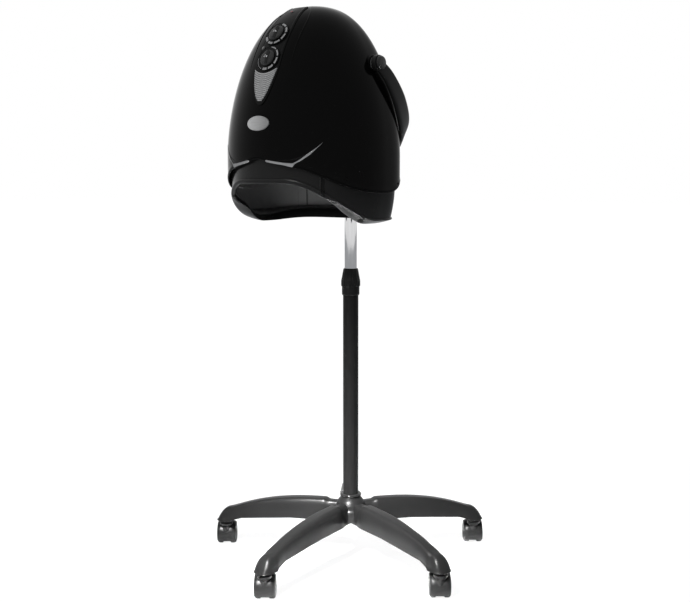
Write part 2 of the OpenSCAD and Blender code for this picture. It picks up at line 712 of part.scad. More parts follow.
// Height of a leg's back at radius r: level at the hub, falling to the tip
function leg_top(r) = leg_top_root - (leg_top_root - leg_top_tip) * pow(max(0, r - hub_r) / (base_r - hub_r), 2.6);
leg_side_steps = 12;
module leg_side(drop) {
    back = [for (i = [leg_side_steps:-1:0]) let (r = base_r * i / leg_side_steps) [r, leg_top(r) - drop]];
    rotate([90, 0, 0]) linear_extrude(80, center = true) polygon(concat(
        [[0, hub_foot], [base_r * 0.45, hub_foot - 3], [base_r * 0.85, leg_low_tip + 12],
            [base_r - leg_tip_w / 2, leg_low_tip + 3], [base_r - leg_tip_w / 2, leg_low_tip],
            [tip_r, leg_low_tip], [tip_r, leg_low_tip + 9 - drop], [tip_r - 7, leg_top_tip - 6 - drop]], back));
}
module leg_plan(inset) {
    w0 = leg_root_w / 2 - inset;
    w1 = leg_tip_w / 2 - inset;
    linear_extrude(200) union() {
        polygon([[0, w0], [base_r * 0.45, w0 + 1], [base_r, w1], [base_r, -w1], [base_r * 0.45, -w0 - 1], [0, -w0]]);
        translate([base_r, 0]) circle(r = w1);
    }
}
module leg() {
    difference() {
        intersection() {
            leg_side(0);
            leg_plan(0);
        }
        intersection() {
            translate([0, 0, -leg_wall]) leg_side(0);
            leg_plan(leg_wall);
            translate([hub_r + 10, -50, 0]) cube([base_r - leg_tip_w / 2 - hub_r - 14, 100, 200]);
        }
    }
}
module star_base() {
    color("#1a1b1d") difference() {
        union() {
            for (k = [0:leg_count - 1]) rotate([0, 0, leg_turn(k)]) leg();
            translate([0, 0, hub_foot]) cylinder(r = hub_r, h = hub_top - hub_foot - hub_slope);
            translate([0, 0, hub_top - hub_slope]) cylinder(r1 = hub_r, r2 = outer_tube_r + 3, h = hub_slope);
        }
        translate([0, 0, tube_foot - seat_gap]) cylinder(r = outer_tube_r + 0.1, h = 200);
        translate([0, 0, hub_foot - 1]) cylinder(r = 6, h = 30);
        for (k = [0:leg_count - 1]) rotate([0, 0, leg_turn(k)])
            translate([base_r, 0, leg_low_tip - 1]) cylinder(r = stem_hole_r + run_gap, h = 15);
    }
}
function leg_turn(k) = -90 + base_turn + 72 * k;
ring_r = outer_tube_r + 7.25;
module hub_ring() {
    color("#55575a") translate([0, 0, hub_top + seat_gap]) difference() {
        union() {
            cylinder(r1 = ring_r - 2, r2 = ring_r, h = 2);
            translate([0, 0, 2]) cylinder(r = ring_r, h = 3.5);
            translate([0, 0, 5.5]) cylinder(r1 = ring_r, r2 = ring_r - 2.5, h = 2);
        }
        translate([0, 0, -1]) cylinder(r = outer_tube_r + 0.3, h = 12);
    }
}
module base_bolt() {
    color("#8f9296") {
        translate([0, 0, hub_foot - 6 - seat_gap]) cylinder(r = 9, h = 6);
        translate([0, 0, hub_foot - 1]) cylinder(r = 5.7, h = tube_foot - hub_foot + 5);
        translate([0, 0, tube_foot + seat_gap]) cylinder(r = outer_tube_r - tube_wall - 0.2, h = 14);
    }
}

// Casters: stem, hood with axle, and two wheels
stem_top_z = leg_low_tip + 12;
neck_z = 2 * wheel_r + 4;
module stem_place(k) {
    rotate([0, 0, leg_turn(k)]) translate([base_r, 0, 0]) rotate([0, 0, caster_heading - leg_turn(k)]) children();
}
module caster_stems() {
    color("#8a8d91") for (k = [0:leg_count - 1]) stem_place(k) {
        translate([0, 0, neck_z - 14]) cylinder(r = 4, h = 20);
        translate([0, 0, leg_low_tip]) cylinder(r = stem_hole_r, h = stem_top_z - leg_low_tip);
        translate([0, 0, neck_z + 3]) cylinder(r = 8, h = leg_low_tip - neck_z - 3 - seat_gap);
    }
}
web_half = 5;
hood_out_r = wheel_r + 2.5;
axle_r = 3;
neck_r = 14;
wheel_gap = 0.4;
module axle_place() { translate([-caster_trail, 0, wheel_r]) rotate([90, 0, 0]) children(); }
module caster_hood(k) {
    cover_half = web_half + wheel_gap + wheel_w - 1;
    color("#141517") stem_place(k) difference() {
        union() {
            // Cover over the wheels' upper half
            difference() {
                axle_place() cylinder(r = hood_out_r, h = 2 * cover_half, center = true);
                axle_place() cylinder(r = wheel_r + 0.8, h = 2 * cover_half + 2, center = true);
                translate([-caster_trail - 40, -40, -20]) cube([80, 80, wheel_r + 14]);
            }
            // Web between the wheels
            intersection() {
                axle_place() cylinder(r = hood_out_r, h = 2 * web_half, center = true);
                translate([-caster_trail - 40, -40, wheel_r - 12]) cube([80, 80, 60]);
            }
            // Neck round the stem
            intersection() {
                translate([0, 0, wheel_r + 8]) cylinder(r = neck_r, h = neck_z - wheel_r - 5.5);
                difference() {
                    translate([-30, -30, 20]) cube([60, 60, 60]);
                    axle_place() cylinder(r = wheel_r + 0.8, h = 60, center = true);
                }
            }
            translate([-4, -web_half, 30]) cube([14, 2 * web_half, 20]);
            // Axle through the web
            axle_place() cylinder(r = axle_r, h = 2 * (web_half + wheel_gap + wheel_w - 2), center = true);
        }
        translate([0, 0, neck_z - 14 - seat_gap]) cylinder(r = 4 + run_gap, h = 40);
    }
}
module wheel(k, side) {
    color("#1b1c1e") stem_place(k) axle_place() translate([0, 0, side > 0 ? web_half + wheel_gap : -web_half - wheel_gap])
        rotate([side > 0 ? 0 : 180, 0, 0]) difference() {
            union() {
                cylinder(r = wheel_r, h = wheel_w - 3);
                translate([0, 0, wheel_w - 3]) cylinder(r1 = wheel_r, r2 = wheel_r - 4, h = 3);
            }
            translate([0, 0, -1]) cylinder(r = axle_r + run_gap, h = wheel_w);
        }
}
module caster_1_hood() { caster_hood(0); }
module caster_2_hood() { caster_hood(1); }
module caster_3_hood() { caster_hood(2); }
module caster_4_hood() { caster_hood(3); }
module caster_5_hood() { caster_hood(4); }
module wheel_1a() { wheel(0, 1); }
module wheel_1b() { wheel(0, -1); }
module wheel_2a() { wheel(1, 1); }
module wheel_2b() { wheel(1, -1); }
module wheel_3a() { wheel(2, 1); }
module wheel_3b() { wheel(2, -1); }
module wheel_4a() { wheel(3, 1); }
module wheel_4b() { wheel(3, -1); }
module wheel_5a() { wheel(4, 1); }
module wheel_5b() { wheel(4, -1); }

star_base();
hub_ring();
base_bolt();
outer_tube();
clamp_socket();
split_bush();
caster_stems();
caster_1_hood();
caster_2_hood();
caster_3_hood();
caster_4_hood();
caster_5_hood();
wheel_1a();
wheel_1b();
wheel_2a();
wheel_2b();
wheel_3a();
wheel_3b();
wheel_4a();
wheel_4b();
wheel_5a();
wheel_5b();
clamp_nut();
chrome_tube();
guide_bush();
tube_cap();
fork();
friction_washers();
hand_knob_left();
hand_knob_right();
pivot_bolts();
side_bosses();
hood_shell();
control_panel();
timer_scale();
heat_scale();
timer_knob();
heat_knob();
timer_unit();
heat_switch();
power_lamp();
heat_lamp();
grille();
badge();
visor();
visor_guides();
side_skirt_left();
side_skirt_right();
rear_skirt();
inner_liner();
blower_wheel();
motor();
motor_mount();
heater();
thermal_cutout();
cord_gland();
skirt_screws();
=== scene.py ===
# %% [markdown]
# # A hood hair dryer on a rolling star base
# This lesson dresses a packed mechanical model. The frame below holds every node of the dryer in its
# place, each riding on the body that moves it. Nothing in it is moved: pieces with a better surface
# are worked out here in the same frame, in the same place, and stand for the plain ones.

# %% Load the frame
import math
import bpy
import numpy as np
from mathutils import Matrix


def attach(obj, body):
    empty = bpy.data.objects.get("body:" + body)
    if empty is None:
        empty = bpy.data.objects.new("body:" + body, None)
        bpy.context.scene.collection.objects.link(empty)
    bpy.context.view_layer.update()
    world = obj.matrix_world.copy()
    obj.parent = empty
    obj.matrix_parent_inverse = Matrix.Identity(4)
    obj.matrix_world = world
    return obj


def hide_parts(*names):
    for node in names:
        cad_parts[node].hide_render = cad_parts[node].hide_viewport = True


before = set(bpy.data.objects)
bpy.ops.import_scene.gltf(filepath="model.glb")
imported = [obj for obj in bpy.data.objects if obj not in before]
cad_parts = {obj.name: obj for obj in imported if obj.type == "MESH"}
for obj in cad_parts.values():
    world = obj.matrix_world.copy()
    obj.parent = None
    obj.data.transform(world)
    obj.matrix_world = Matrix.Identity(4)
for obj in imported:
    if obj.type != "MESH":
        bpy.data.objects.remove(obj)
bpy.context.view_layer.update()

# %% [markdown]
# ## From rows of points to a closed mesh
# Almost every moulded part is a surface with two directions, such as down and around. If its points
# form a grid of rows, the faces follow from the row and column numbers alone, so numpy can make them
# all at once. A grid that closes round itself and is capped at both ends is a closed body. Which way
# its faces look is settled by the sign of its volume, so no shape ends up inside out.

# %% Grids, caps and pieces
MM = 0.001


def skin(grid, along=False, ends="fan"):
    """Quads between neighbouring rows and columns of a (rows, columns, 3) grid. Columns close round, rows do
    when along is set. Otherwise ends caps the first and last row: "fan" joins it to its middle, "ladder"
    joins each point to the one facing it across a wall. Returns points, faces and face UVs."""
    grid = np.asarray(grid, float)
    rows, cols = grid.shape[:2]
    index = np.arange(rows * cols).reshape(rows, cols)
    spans = rows if along else rows - 1
    i, j = (x.ravel() for x in np.meshgrid(np.arange(spans), np.arange(cols), indexing="ij"))
    i1, j1 = (i + 1) % rows, (j + 1) % cols
    quads = np.stack([index[i, j], index[i, j1], index[i1, j1], index[i1, j]], 1)
    u = np.stack([j, j + 1, j + 1, j], 1) / cols
    v = np.stack([i, i, i + 1, i + 1], 1) / spans
    points = grid.reshape(-1, 3)
    faces, uvs = quads.tolist(), np.stack([u, v], 2).reshape(-1, 2)
    if along:
        return points, faces, uvs
    for row, turn in ((index[0], -1), (index[-1], 1)):
        if ends == "fan":
            middle = len(points)
            points = np.vstack([points, points[row].mean(0)])
            caps = np.stack([row, np.roll(row, -1), np.full(cols, middle)], 1)
        else:
            k = np.arange(cols // 2 - 1)
            caps = np.stack([row[k], row[k + 1], row[cols - 2 - k], row[cols - 1 - k]], 1)
        caps = caps if turn > 0 else caps[:, ::-1]
        faces += caps.tolist()
        uvs = np.vstack([uvs, np.full((caps.size, 2), 0.5)])
    return points, faces, uvs


def outward(points, faces, uvs):
    """Turns the faces round when the volume, the sum of a . (b x c) / 6 over their triangles, is negative."""
    first = np.array([[f[0], f[1], f[2]] for f in faces])
    second = np.array([[f[0], f[2], f[3]] for f in faces if len(f) == 4])
    tri = np.vstack([first, second]) if len(second) else first
    a, b, c = (points[tri[:, n]] for n in range(3))
    if np.einsum("ij,ij->", a, np.cross(b, c)) >= 0:
        return faces, uvs
    ends = np.cumsum([len(f) for f in faces])
    uvs = np.vstack([part[::-1] for part in np.split(uvs, ends[:-1])])
    return [f[::-1] for f in faces], uvs


def put(name, data):
    """An object of the scene that shows the data."""
    made = bpy.data.objects.new(name, data)
    bpy.context.collection.objects.link(made)
    return made


def piece(name, skins, body, slot, finish, stands_for=(), crease=35):
    """One object from one or more closed skins, in millimetres, on a body and with a finish."""
    points, faces, uvs, start = [], [], [], 0
    for p, f, u in skins:
        f, u = outward(p, f, u)
        points.append(p)
        uvs.append(u)
        faces += [[k + start for k in face] for face in f]
        start += len(p)
    mesh = bpy.data.meshes.new(name)
    mesh.from_pydata((np.vstack(points) * MM).tolist(), [], faces)
    layer = mesh.uv_layers.new(name="surface")
    layer.data.foreach_set("uv", np.vstack(uvs).ravel())
    mesh.shade_smooth()
    mesh.set_sharp_from_angle(angle=math.radians(crease))
    mesh.materials.append(finish)
    made = put(name, mesh)
    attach(made, body)
    if stands_for:
        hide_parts(*stands_for)
    print(name, len(mesh.vertices), "points")


# %% [markdown]
# ## Profiles, lathes and sweeps
# Three ways of carrying a flat shape cover most hardware: round an axis, as on a lathe, along a
# path, as an extrusion that bends, and straight out of a plate. Real edges are never razor sharp, so
# each profile has its corners rounded first: the small arcs are what catches the light.

# %% Profile helpers
def rounded(corners, radius, steps=4, closed=False):
    """Each corner becomes a quadratic arc that starts and ends at most radius, or a third of the side, away."""
    p = np.asarray(corners, float)
    radius = np.broadcast_to(np.asarray(radius, float), len(p))[:, None]
    back, on = np.roll(p, 1, 0) - p, np.roll(p, -1, 0) - p
    lb, lo = np.linalg.norm(back, axis=1, keepdims=True), np.linalg.norm(on, axis=1, keepdims=True)
    a = p + back / np.maximum(lb, 1e-9) * np.minimum(radius, lb / 3)
    b = p + on / np.maximum(lo, 1e-9) * np.minimum(radius, lo / 3)
    t = np.linspace(0, 1, steps + 1)[None, :, None]
    arcs = (1 - t) ** 2 * a[:, None] + 2 * t * (1 - t) * p[:, None] + t ** 2 * b[:, None]
    if closed:
        return arcs.reshape(-1, 2)
    return np.vstack([p[:1], arcs[1:-1].reshape(-1, 2), p[-1:]])


def placed(local, origin, z_axis, x_axis=(1, 0, 0)):
    """Local points to the frame: origin + x X + y Y + z Z, with Y = Z x X."""
    z = np.asarray(z_axis, float)
    z = z / np.linalg.norm(z)
    x_axis = (0, 1, 0) if abs(np.dot(x_axis, z)) > 0.99 else x_axis
    x = np.asarray(x_axis, float) - np.dot(x_axis, z) * z
    x = x / np.linalg.norm(x)
    return np.asarray(origin, float) + local @ np.stack([x, np.cross(z, x), z])


def lathe(profile, origin=(0, 0, 0), axis=(0, 0, 1), turns=64, shape=None, bored=False):
    """A profile of (radius, height) carried round an axis: x = r cos q, y = r sin q. shape(q, r, z) may change r.
    A bored profile is a closed ring; any other is capped at both ends."""
    profile = np.asarray(profile, float)
    q = np.linspace(0, 2 * np.pi, turns, endpoint=False)[None]
    r, z = profile[:, :1] + 0 * q, profile[:, 1:] + 0 * q
    if shape:
        r = shape(q, r, z)
    grid = np.stack([r * np.cos(q), r * np.sin(q), z], 2)
    return skin(placed(grid, origin, axis), along=bored)


def turned(corners, radius, *where, steps=4, **more):
    """A lathe part with a bore, from the corners of its section."""
    return lathe(rounded(corners, radius, steps, closed=True), *where, bored=True, **more)


def sweep(path, across, up, sections):
    """A closed section of (x, y) for each step of a path: point + across x + up y."""
    return skin(path[:, None] + across[:, None] * sections[..., :1] + up[:, None] * sections[..., 1:])


def unit(v):
    """Vectors divided by their lengths."""
    return v / np.linalg.norm(v, axis=-1, keepdims=True)


def rolled(x):
    """Smooth step from 0 to 1: 3 x^2 - 2 x^3."""
    x = np.clip(x, 0, 1)
    return x * x * (3 - 2 * x)


def box_ring(half_x, half_y, power=0.35, steps=32):
    """A rounded rectangle: x = a sign(c)|c|^p, y = b sign(s)|s|^p round the circle."""
    q = np.linspace(0, 2 * np.pi, steps, endpoint=False)
    c, s = np.cos(q), np.sin(q)
    return np.stack([half_x * np.sign(c) * np.abs(c) ** power, half_y * np.sign(s) * np.abs(s) ** power], 1)


# %% [markdown]
# ## Shader maths as Python
# A moulded surface is never one even colour: its gloss wanders, it has a fine grain and it holds a
# little dust. Noise nodes give such variation. Wrapping a node's output in a small class lets the
# arithmetic between them be written as plain Python.

# %% Signals and finishes
class Signal:
    """A number that varies over a surface. Operators on it add the Math nodes."""

    def __init__(self, finish, socket):
        self.finish, self.socket = finish, socket

    def math(self, operation, *values):
        return self.finish.node("Math", {"operation": operation}, dict(enumerate(values)))

    def __add__(self, other):
        return self.math("ADD", self, other)

    def __sub__(self, other):
        return self.math("SUBTRACT", self, other)

    def __rsub__(self, other):
        return self.math("SUBTRACT", other, self)

    def __mul__(self, other):
        return self.math("MULTIPLY", self, other)

    __radd__, __rmul__ = __add__, __mul__


class Finish:
    """A material under construction."""

    def __init__(self, name, **fixed):
        self.material = bpy.data.materials.new(name)
        self.material.use_nodes = True
        self.tree = self.material.node_tree
        self.tree.nodes.clear()
        self.shader = self.tree.nodes.new("ShaderNodeBsdfPrincipled")
        out = self.tree.nodes.new("ShaderNodeOutputMaterial")
        self.tree.links.new(self.shader.outputs[0], out.inputs[0])
        for socket, value in fixed.items():
            self.shader.inputs[socket.replace("_", " ")].default_value = value

    def node(self, kind, settings=None, sockets=None, out=0):
        """Adds a node: its settings first, then the values or links of its sockets."""
        made = self.tree.nodes.new("ShaderNode" + kind)
        for key, value in (settings or {}).items():
            setattr(made, key, value)
        for key, value in (sockets or {}).items():
            if isinstance(value, Signal):
                self.tree.links.new(value.socket, made.inputs[key])
            else:
                made.inputs[key].default_value = value
        return Signal(self, made.outputs[out])

    def set(self, socket, value):
        """Links a varying value to the shader."""
        self.tree.links.new(value.socket, self.shader.inputs[socket])

    def noise(self, scale, detail=3, stretch=(1, 1, 1)):
        """Noise on Object coordinates, between 0 and 1, at so many cells a metre."""
        place = self.node("TexCoord", out=3)
        sized = self.node("Mapping", sockets={"Vector": place, "Scale": stretch})
        return self.node("TexNoise", None, {"Vector": sized, "Scale": scale, "Detail": detail})

    def surface(self, way):
        """Share of the way round a skin (way 0) or along it (way 1), from its UV map."""
        return self.node("SeparateXYZ", None, {0: self.node("UVMap", {"uv_map": "surface"})}, out=way)

    def mix(self, factor, a, b):
        """Colour a where the factor is 0, b where it is 1."""
        return self.node("Mix", {"data_type": "RGBA"}, {"Factor": factor, 6: a, 7: b}, out=2)

    def wander(self, noise, spread, middle):
        """Roughness that wanders about its middle value by the spread, kept between 0 and 1."""
        self.set("Roughness", self.node("Math", {"operation": "ADD", "use_clamp": True},
                                        {0: (noise - 0.5) * spread, 1: middle}))

    def bump(self, height, strength, distance):
        """Shading relief from a height, in metres of distance."""
        self.set("Normal", self.node("Bump", None, {"Height": height, "Strength": strength, "Distance": distance}))


def colour(value, tint=(1, 1, 1)):
    """A grey of the given strength with a tint, as a socket wants it."""
    return (value * tint[0], value * tint[1], value * tint[2], 1)


def moulded(name, dark, light, rough, spread, grain=0, relief=0, inside=None, **fixed):
    """Moulded plastic: base colour wanders between two greys, roughness by the spread, grain gives relief.
    A wall with an inside takes two other greys on the far half of its loop, by its UV map: painted light, where
    they are lighter."""
    made = Finish(name, **fixed)
    tone = made.noise(9, 4) * 0.6 + made.noise(160, 3) * 0.4
    base = made.mix(tone, colour(dark), colour(light))
    # painted light: the inner face of a wall can take lighter greys of its own
    if inside:
        inner = made.node("MapRange", None, {"Value": made.surface(0), 1: 0.575, 2: 0.59})
        base = made.mix(inner, base, made.mix(tone, colour(inside[0]), colour(inside[1])))
    made.set("Base Color", base)
    made.wander(made.noise(23, 5), spread, rough)
    if grain:
        made.bump(made.noise(grain, 2), 1.0, relief)
    return made.material


gloss_black = moulded("gloss_black_shell", 0.0008, 0.0014, 0.10, 0.08, 260, 0.000012, Specular_IOR_Level=0.035)
panel_black = moulded("satin_black_panel", 0.0016, 0.0028, 0.34, 0.14, 900, 0.00004, Specular_IOR_Level=0.06)
knob_black = moulded("satin_black_knob", 0.004, 0.008, 0.26, 0.12, 1200, 0.00003, Specular_IOR_Level=0.22)
# the skirt's inner greys, 0.07 to 0.09, are painted light coming through the smoked wall
smoked = moulded("smoked_grey_skirt_painted_lit_inside", 0.004, 0.006, 0.20, 0.10, 180, 0.00002, inside=(0.07, 0.09),
                 Specular_IOR_Level=0.09)
fork_grey = moulded("satin_grey_fork", 0.004, 0.006, 0.34, 0.14, 1100, 0.00005, Specular_IOR_Level=0.08)
nylon_black = moulded("moulded_nylon_base", 0.0022, 0.0040, 0.32, 0.16, 800, 0.00009, Specular_IOR_Level=0.07)
caster_black = moulded("moulded_nylon_caster", 0.0028, 0.0050, 0.34, 0.16, 900, 0.00006, Specular_IOR_Level=0.07)
tube_black = moulded("powder_coat_tube", 0.0020, 0.0032, 0.33, 0.10, 1500, 0.00006, Specular_IOR_Level=0.05)
collar_black = moulded("polished_black_collar", 0.003, 0.005, 0.14, 0.08, 300, 0.00002, Specular_IOR_Level=0.16)
print_grey = moulded("grey_print", 0.15, 0.19, 0.45, 0.10, 600, 0.00001, Specular_IOR_Level=0.2)
dull_grey = moulded("dull_grey_trim", 0.025, 0.040, 0.40, 0.10, 600, 0.00001, Specular_IOR_Level=0.2)
white_nylon = moulded("white_nylon", 0.62, 0.72, 0.40, 0.10, 500, 0.00003)
mica_board = moulded("mica_board", 0.35, 0.50, 0.55, 0.10, 300, 0.0001)
washer_fibre = moulded("fibre_washer", 0.05, 0.08, 0.75, 0.10, 900, 0.0001)
print("plastics made", len(bpy.data.materials))

# %% [markdown]
# ## Metals and lenses
# Chrome is a mirror whose polish varies only a little, drawn out along the tube. Zinc-plated steel
# is duller and mottled. A lamp's cap is clear coloured plastic under a coat, with a faint glow.

# %% Metals and lenses
def metal(name, dark, light, rough, spread, stretch, scale, relief=0.0):
    """Metal: colour between two greys and roughness by the spread, both from noise stretched along one way."""
    made = Finish(name, Metallic=1.0)
    streak = made.noise(scale, 4, stretch)
    made.set("Base Color", made.mix(streak, colour(dark, (1, 1, 1.01)), colour(light, (1, 1, 1.01))))
    made.wander(made.noise(scale * 2, 3, stretch), spread, rough)
    if relief:
        made.bump(streak, 1.0, relief)
    return made.material


chrome = metal("polished_chrome", 0.62, 0.72, 0.07, 0.06, (1, 1, 0.06), 240)
steel = metal("zinc_plated_steel", 0.38, 0.50, 0.32, 0.16, (1, 1, 1), 90, 0.00002)
# a bright metal for the black shell's lip: a painted highlight
lip_highlight_paint = metal("painted_highlight_lip_facet", 0.20, 0.32, 0.22, 0.06, (1, 1, 1), 60)


def lens(name, tint, glow):
    """A coloured cap over a lamp: its own colour with a faint glow that fades towards the noise's dark cells."""
    made = Finish(name, Roughness=0.12, Coat_Weight=0.6, Emission_Strength=glow)
    cells = made.noise(700, 2)
    made.set("Base Color", made.mix(cells, colour(0.5, tint), colour(0.85, tint)))
    made.set("Emission Color", made.mix(cells, colour(0.3, tint), colour(0.9, tint)))
    return made.material


red_lens = lens("red_lamp_lens", (0.13, 0.006, 0.012), 0.1)
clear_lens = lens("clear_lamp_lens", (0.02, 0.02, 0.02), 0.0)
print("materials", len(bpy.data.materials))

# %% [markdown]
# ## The form of the hood
# The hood is one dome: flat ovals stacked from the crown down, a half ellipse to the front and a
# squarer curve behind. A swelling law gives the width of each oval. All that sits on the hood, the
# panel, dials, grille, skirt and lining, is worked out from these same formulas, so it fits.

# %% Hood formulas
CROWN, DROP = 1224.0, 308.0
FRONT, BACK, HALF = 183.0, 100.0, 186.0
SQUARE = 3.5
RISE, ROUND = 1.75, 2.35
MIDDLE = -123.0


def swell(z):
    """Width of the oval at height z: (1 - (1 - t)^1.75)^(1 / 2.35), t = depth below the crown / 308."""
    t = np.clip((CROWN - z) / DROP, 0, 1)
    return (1 - (1 - t) ** RISE) ** (1 / ROUND)


def front_slope(z):
    """Angle of the front surface against the vertical, in radians: atan(183 dw/dz)."""
    t = np.clip((CROWN - z) / DROP, 1e-6, 1)
    rate = RISE / ROUND * (1 - (1 - t) ** RISE) ** (1 / ROUND - 1) * (1 - t) ** (RISE - 1) / DROP
    return np.arctan(FRONT * rate)


def oval(turn, size, inset):
    """Point of an oval at an angle from the front: an ellipse in front, |x|^3.5 + |y|^3.5 = 1 behind."""
    a = np.radians(turn)
    c, s = np.cos(a), np.sin(a)
    p = 2 / SQUARE
    behind = c < 0
    x = np.where(behind, np.sign(s) * np.abs(s) ** p, s) * (HALF * size - inset)
    y = MIDDLE - np.where(behind, -np.abs(c) ** p * (BACK * size - inset), c * (FRONT * size - inset))
    return x, y


def on_hood(turn, z, size, inset):
    """Points of the hood, as a (..., 3) array."""
    x, y = oval(turn, size, inset)
    return np.stack([x, y, z + 0 * x], -1)


def even(step):
    """Angle for an even step round the hood: as it is in front, tan a = tan(t)^(3.5 / 2) behind."""
    t = np.mod(step, 360.0)
    b = np.radians(180 - t)
    a = np.degrees(np.arctan2(np.abs(np.sin(b)) ** (SQUARE / 2), np.abs(np.cos(b)) ** (SQUARE / 2))) * np.sign(b)
    return np.where((t > 90) & (t < 270), 180 - a, t)


def step_of(turn):
    """The even step that gives an angle."""
    b = np.radians(180 - turn)
    t = np.degrees(np.arctan2(np.abs(np.sin(b)) ** (2 / SQUARE), np.abs(np.cos(b)) ** (2 / SQUARE))) * np.sign(b)
    return np.where((turn > 90) & (turn < 270), 180 - t, turn)


def from_front(turn):
    """Angle away from the middle of the front, to either side."""
    return np.abs(np.where(turn > 180, turn - 360, turn))


def shell_edge(turn):
    """Lower edge of the shell: 841 + 73 cos^2 in front, 841 + 55 |cos|^1.2 behind."""
    c = np.cos(np.radians(turn))
    return 841 + np.where(c >= 0, 73 * c * c, 55 * np.abs(c) ** 1.2)


def rim_edge(turn):
    """Lower rim of the skirt: an arch in front that falls to the sides, a slight rise behind."""
    c = np.cos(np.radians(turn))
    return 777 + np.where(c >= 0, 82 * (1 - rolled((from_front(turn) - 18) / 68)), 8 * c * c)


def skirt_draw(z):
    """Size of the skirt's oval, which draws in by 7 % towards the rim."""
    return 1 - 0.07 * (np.maximum(0, 860 - z) / 85) ** 2


def face_turn(z, x):
    """Angle at which the front face stands x aside of its middle."""
    return np.degrees(np.arcsin(np.clip(x / (HALF * swell(z)), -1, 1)))


def raised(turn, z, lift):
    """A point of the front face lifted along its normal."""
    x, y = oval(turn, swell(z), 0)
    a, t = np.radians(turn), front_slope(z)
    return np.stack([x + lift * np.sin(a) * np.cos(t), y - lift * np.cos(a) * np.cos(t), z + lift * np.sin(t)], -1)


print("half width at the pivot", round(float(HALF * swell(1100.0)), 1))

# %% [markdown]
# ## Shell
# The real shell is a gloss black moulding about three millimetres thick. Its lower edge is turned
# over in a soft lip, and where the front face ends a raised line runs from that lip up the side and
# fades out. One skin is enough for the shell: down the outside, round the lip and up the inside.

# %% Shell skin
STEPS = 260


def hem(turn):
    """The moulding's edge: the shell's edge with a lip that hangs 5 lower in the middle of the front and up to
    11.5 lower beside it, and that fades out by 90 degrees."""
    fold = from_front(turn)
    hang = (5 + 6.5 * rolled(fold / 13)) * (1 - 0.4 * rolled((fold - 20) / 12))
    return shell_edge(turn) - hang * (1 - rolled((fold - 55) / 35))


def shell_rows(v, inset, turn):
    """Heights fall from the crown to the edge as v^1.7; the size follows the swelling law."""
    top = CROWN - inset
    z = top - (top - hem(turn)) * v ** 1.7
    lip = 0.8 * np.exp(-(((z - hem(turn)) - 3.5) / 2.6) ** 2) if inset == 0 else 0
    return on_hood(turn, z, swell(z + inset), inset - lip)


turn = even(np.linspace(0, 360, STEPS, endpoint=False))[None]
outside = shell_rows(np.linspace(0.02, 1, 150)[:, None], 0, turn)
q = np.linspace(0, np.pi, 8)[1:-1, None]
edge_lip = on_hood(turn, hem(turn) - 1.5 * np.sin(q), swell(hem(turn)), 1.5 - 1.5 * np.cos(q))
inside = shell_rows(np.linspace(1, 0.02, 40)[:, None], 3, turn)
piece("hood_shell_moulding", [skin(np.concatenate([outside, edge_lip, inside]))], "hood", "gloss_black",
      gloss_black, ["hood_shell"], crease=60)

# %% [markdown]
# ## Raised lines on the shell
# Each line is a narrow ridge carried along a path on the surface. Its height and width taper to
# nothing at the ends, which is how such a line is cut into the mould.

# %% Ridges on the face
def ridge(turns, heights, widths, tall, lift=0.0):
    """A ridge along a smooth line through (turn, height) pairs: an oval of the given width, half sunk in."""
    t = np.linspace(0, len(turns) - 1, 90)
    k = np.arange(len(turns))
    line = [np.interp(t, k, v) for v in (turns, heights, widths, tall)]
    blur = np.ones(9) / 9
    line = [np.convolve(np.pad(v, 4, mode="edge"), blur, mode="valid") for v in line]

    def at(turn_by, z_by):
        z = line[1] + z_by
        return on_hood(line[0] + turn_by, z, swell(z), -lift)

    path = at(0, 0)
    along = unit(np.gradient(path, axis=0))
    step_a = at(0.5, 0) - at(-0.5, 0)
    step_z = at(0, -1) - at(0, 1)
    normal = unit(np.cross(step_z, step_a))
    across = unit(np.cross(along, normal))
    a = np.linspace(0, 2 * np.pi, 16, endpoint=False)
    section = np.stack([np.cos(a)[None] * line[2][:, None] / 2, np.sin(a)[None] * line[3][:, None]], -1)
    return sweep(path, across, normal, section)


def both_sides(turns, *rest, **more):
    """The same ridge on the left and on the right."""
    turns = np.asarray(turns, float)
    return [ridge(turns, *rest, **more), ridge(-turns, *rest, **more)]


def lip_band(turns, low, high):
    """A facet on the lip with a painted highlight: from the low to the high line it leans outwards, with its back
    in the wall.
    """
    t = np.linspace(0, len(turns) - 1, 160)
    k = np.arange(len(turns))
    turn, low, high = (np.interp(t, k, v)[:, None] for v in (turns, low, high))
    s = np.array([0, 0.03, 0.1, 0.3, 0.5, 0.7, 0.9, 0.97, 1.0])[None]
    z = low + (high - low) * s
    proud = 0.5 + 0.33 * (z - low) - 0.5 * (np.abs(2 * s - 1) ** 12)
    z = np.concatenate([z, z[:, ::-1]], 1)
    proud = np.concatenate([proud, 0 * proud - 1.5], 1)
    return skin(on_hood(turn, z, swell(z), -proud), ends="ladder")


band_turns = np.array([6.5, 7.5, 12.7, 18.8, 24.4, 25.3, 26.2, 27.5, 30.3, 33.1, 35.9, 38.7, 41.4, 43.4])
band_low = [904.0, 901.6, 898.5, 895.4, 891.4, 892.5, 897.0, 899.9, 904.2, 910.0, 916.1, 924.6, 932.8, 938.9]
band_high = [904.6, 906.0, 903.4, 900.4, 899.0, 899.6, 900.8, 902.8, 908.2, 914.8, 921.0, 927.4, 934.2, 939.3]
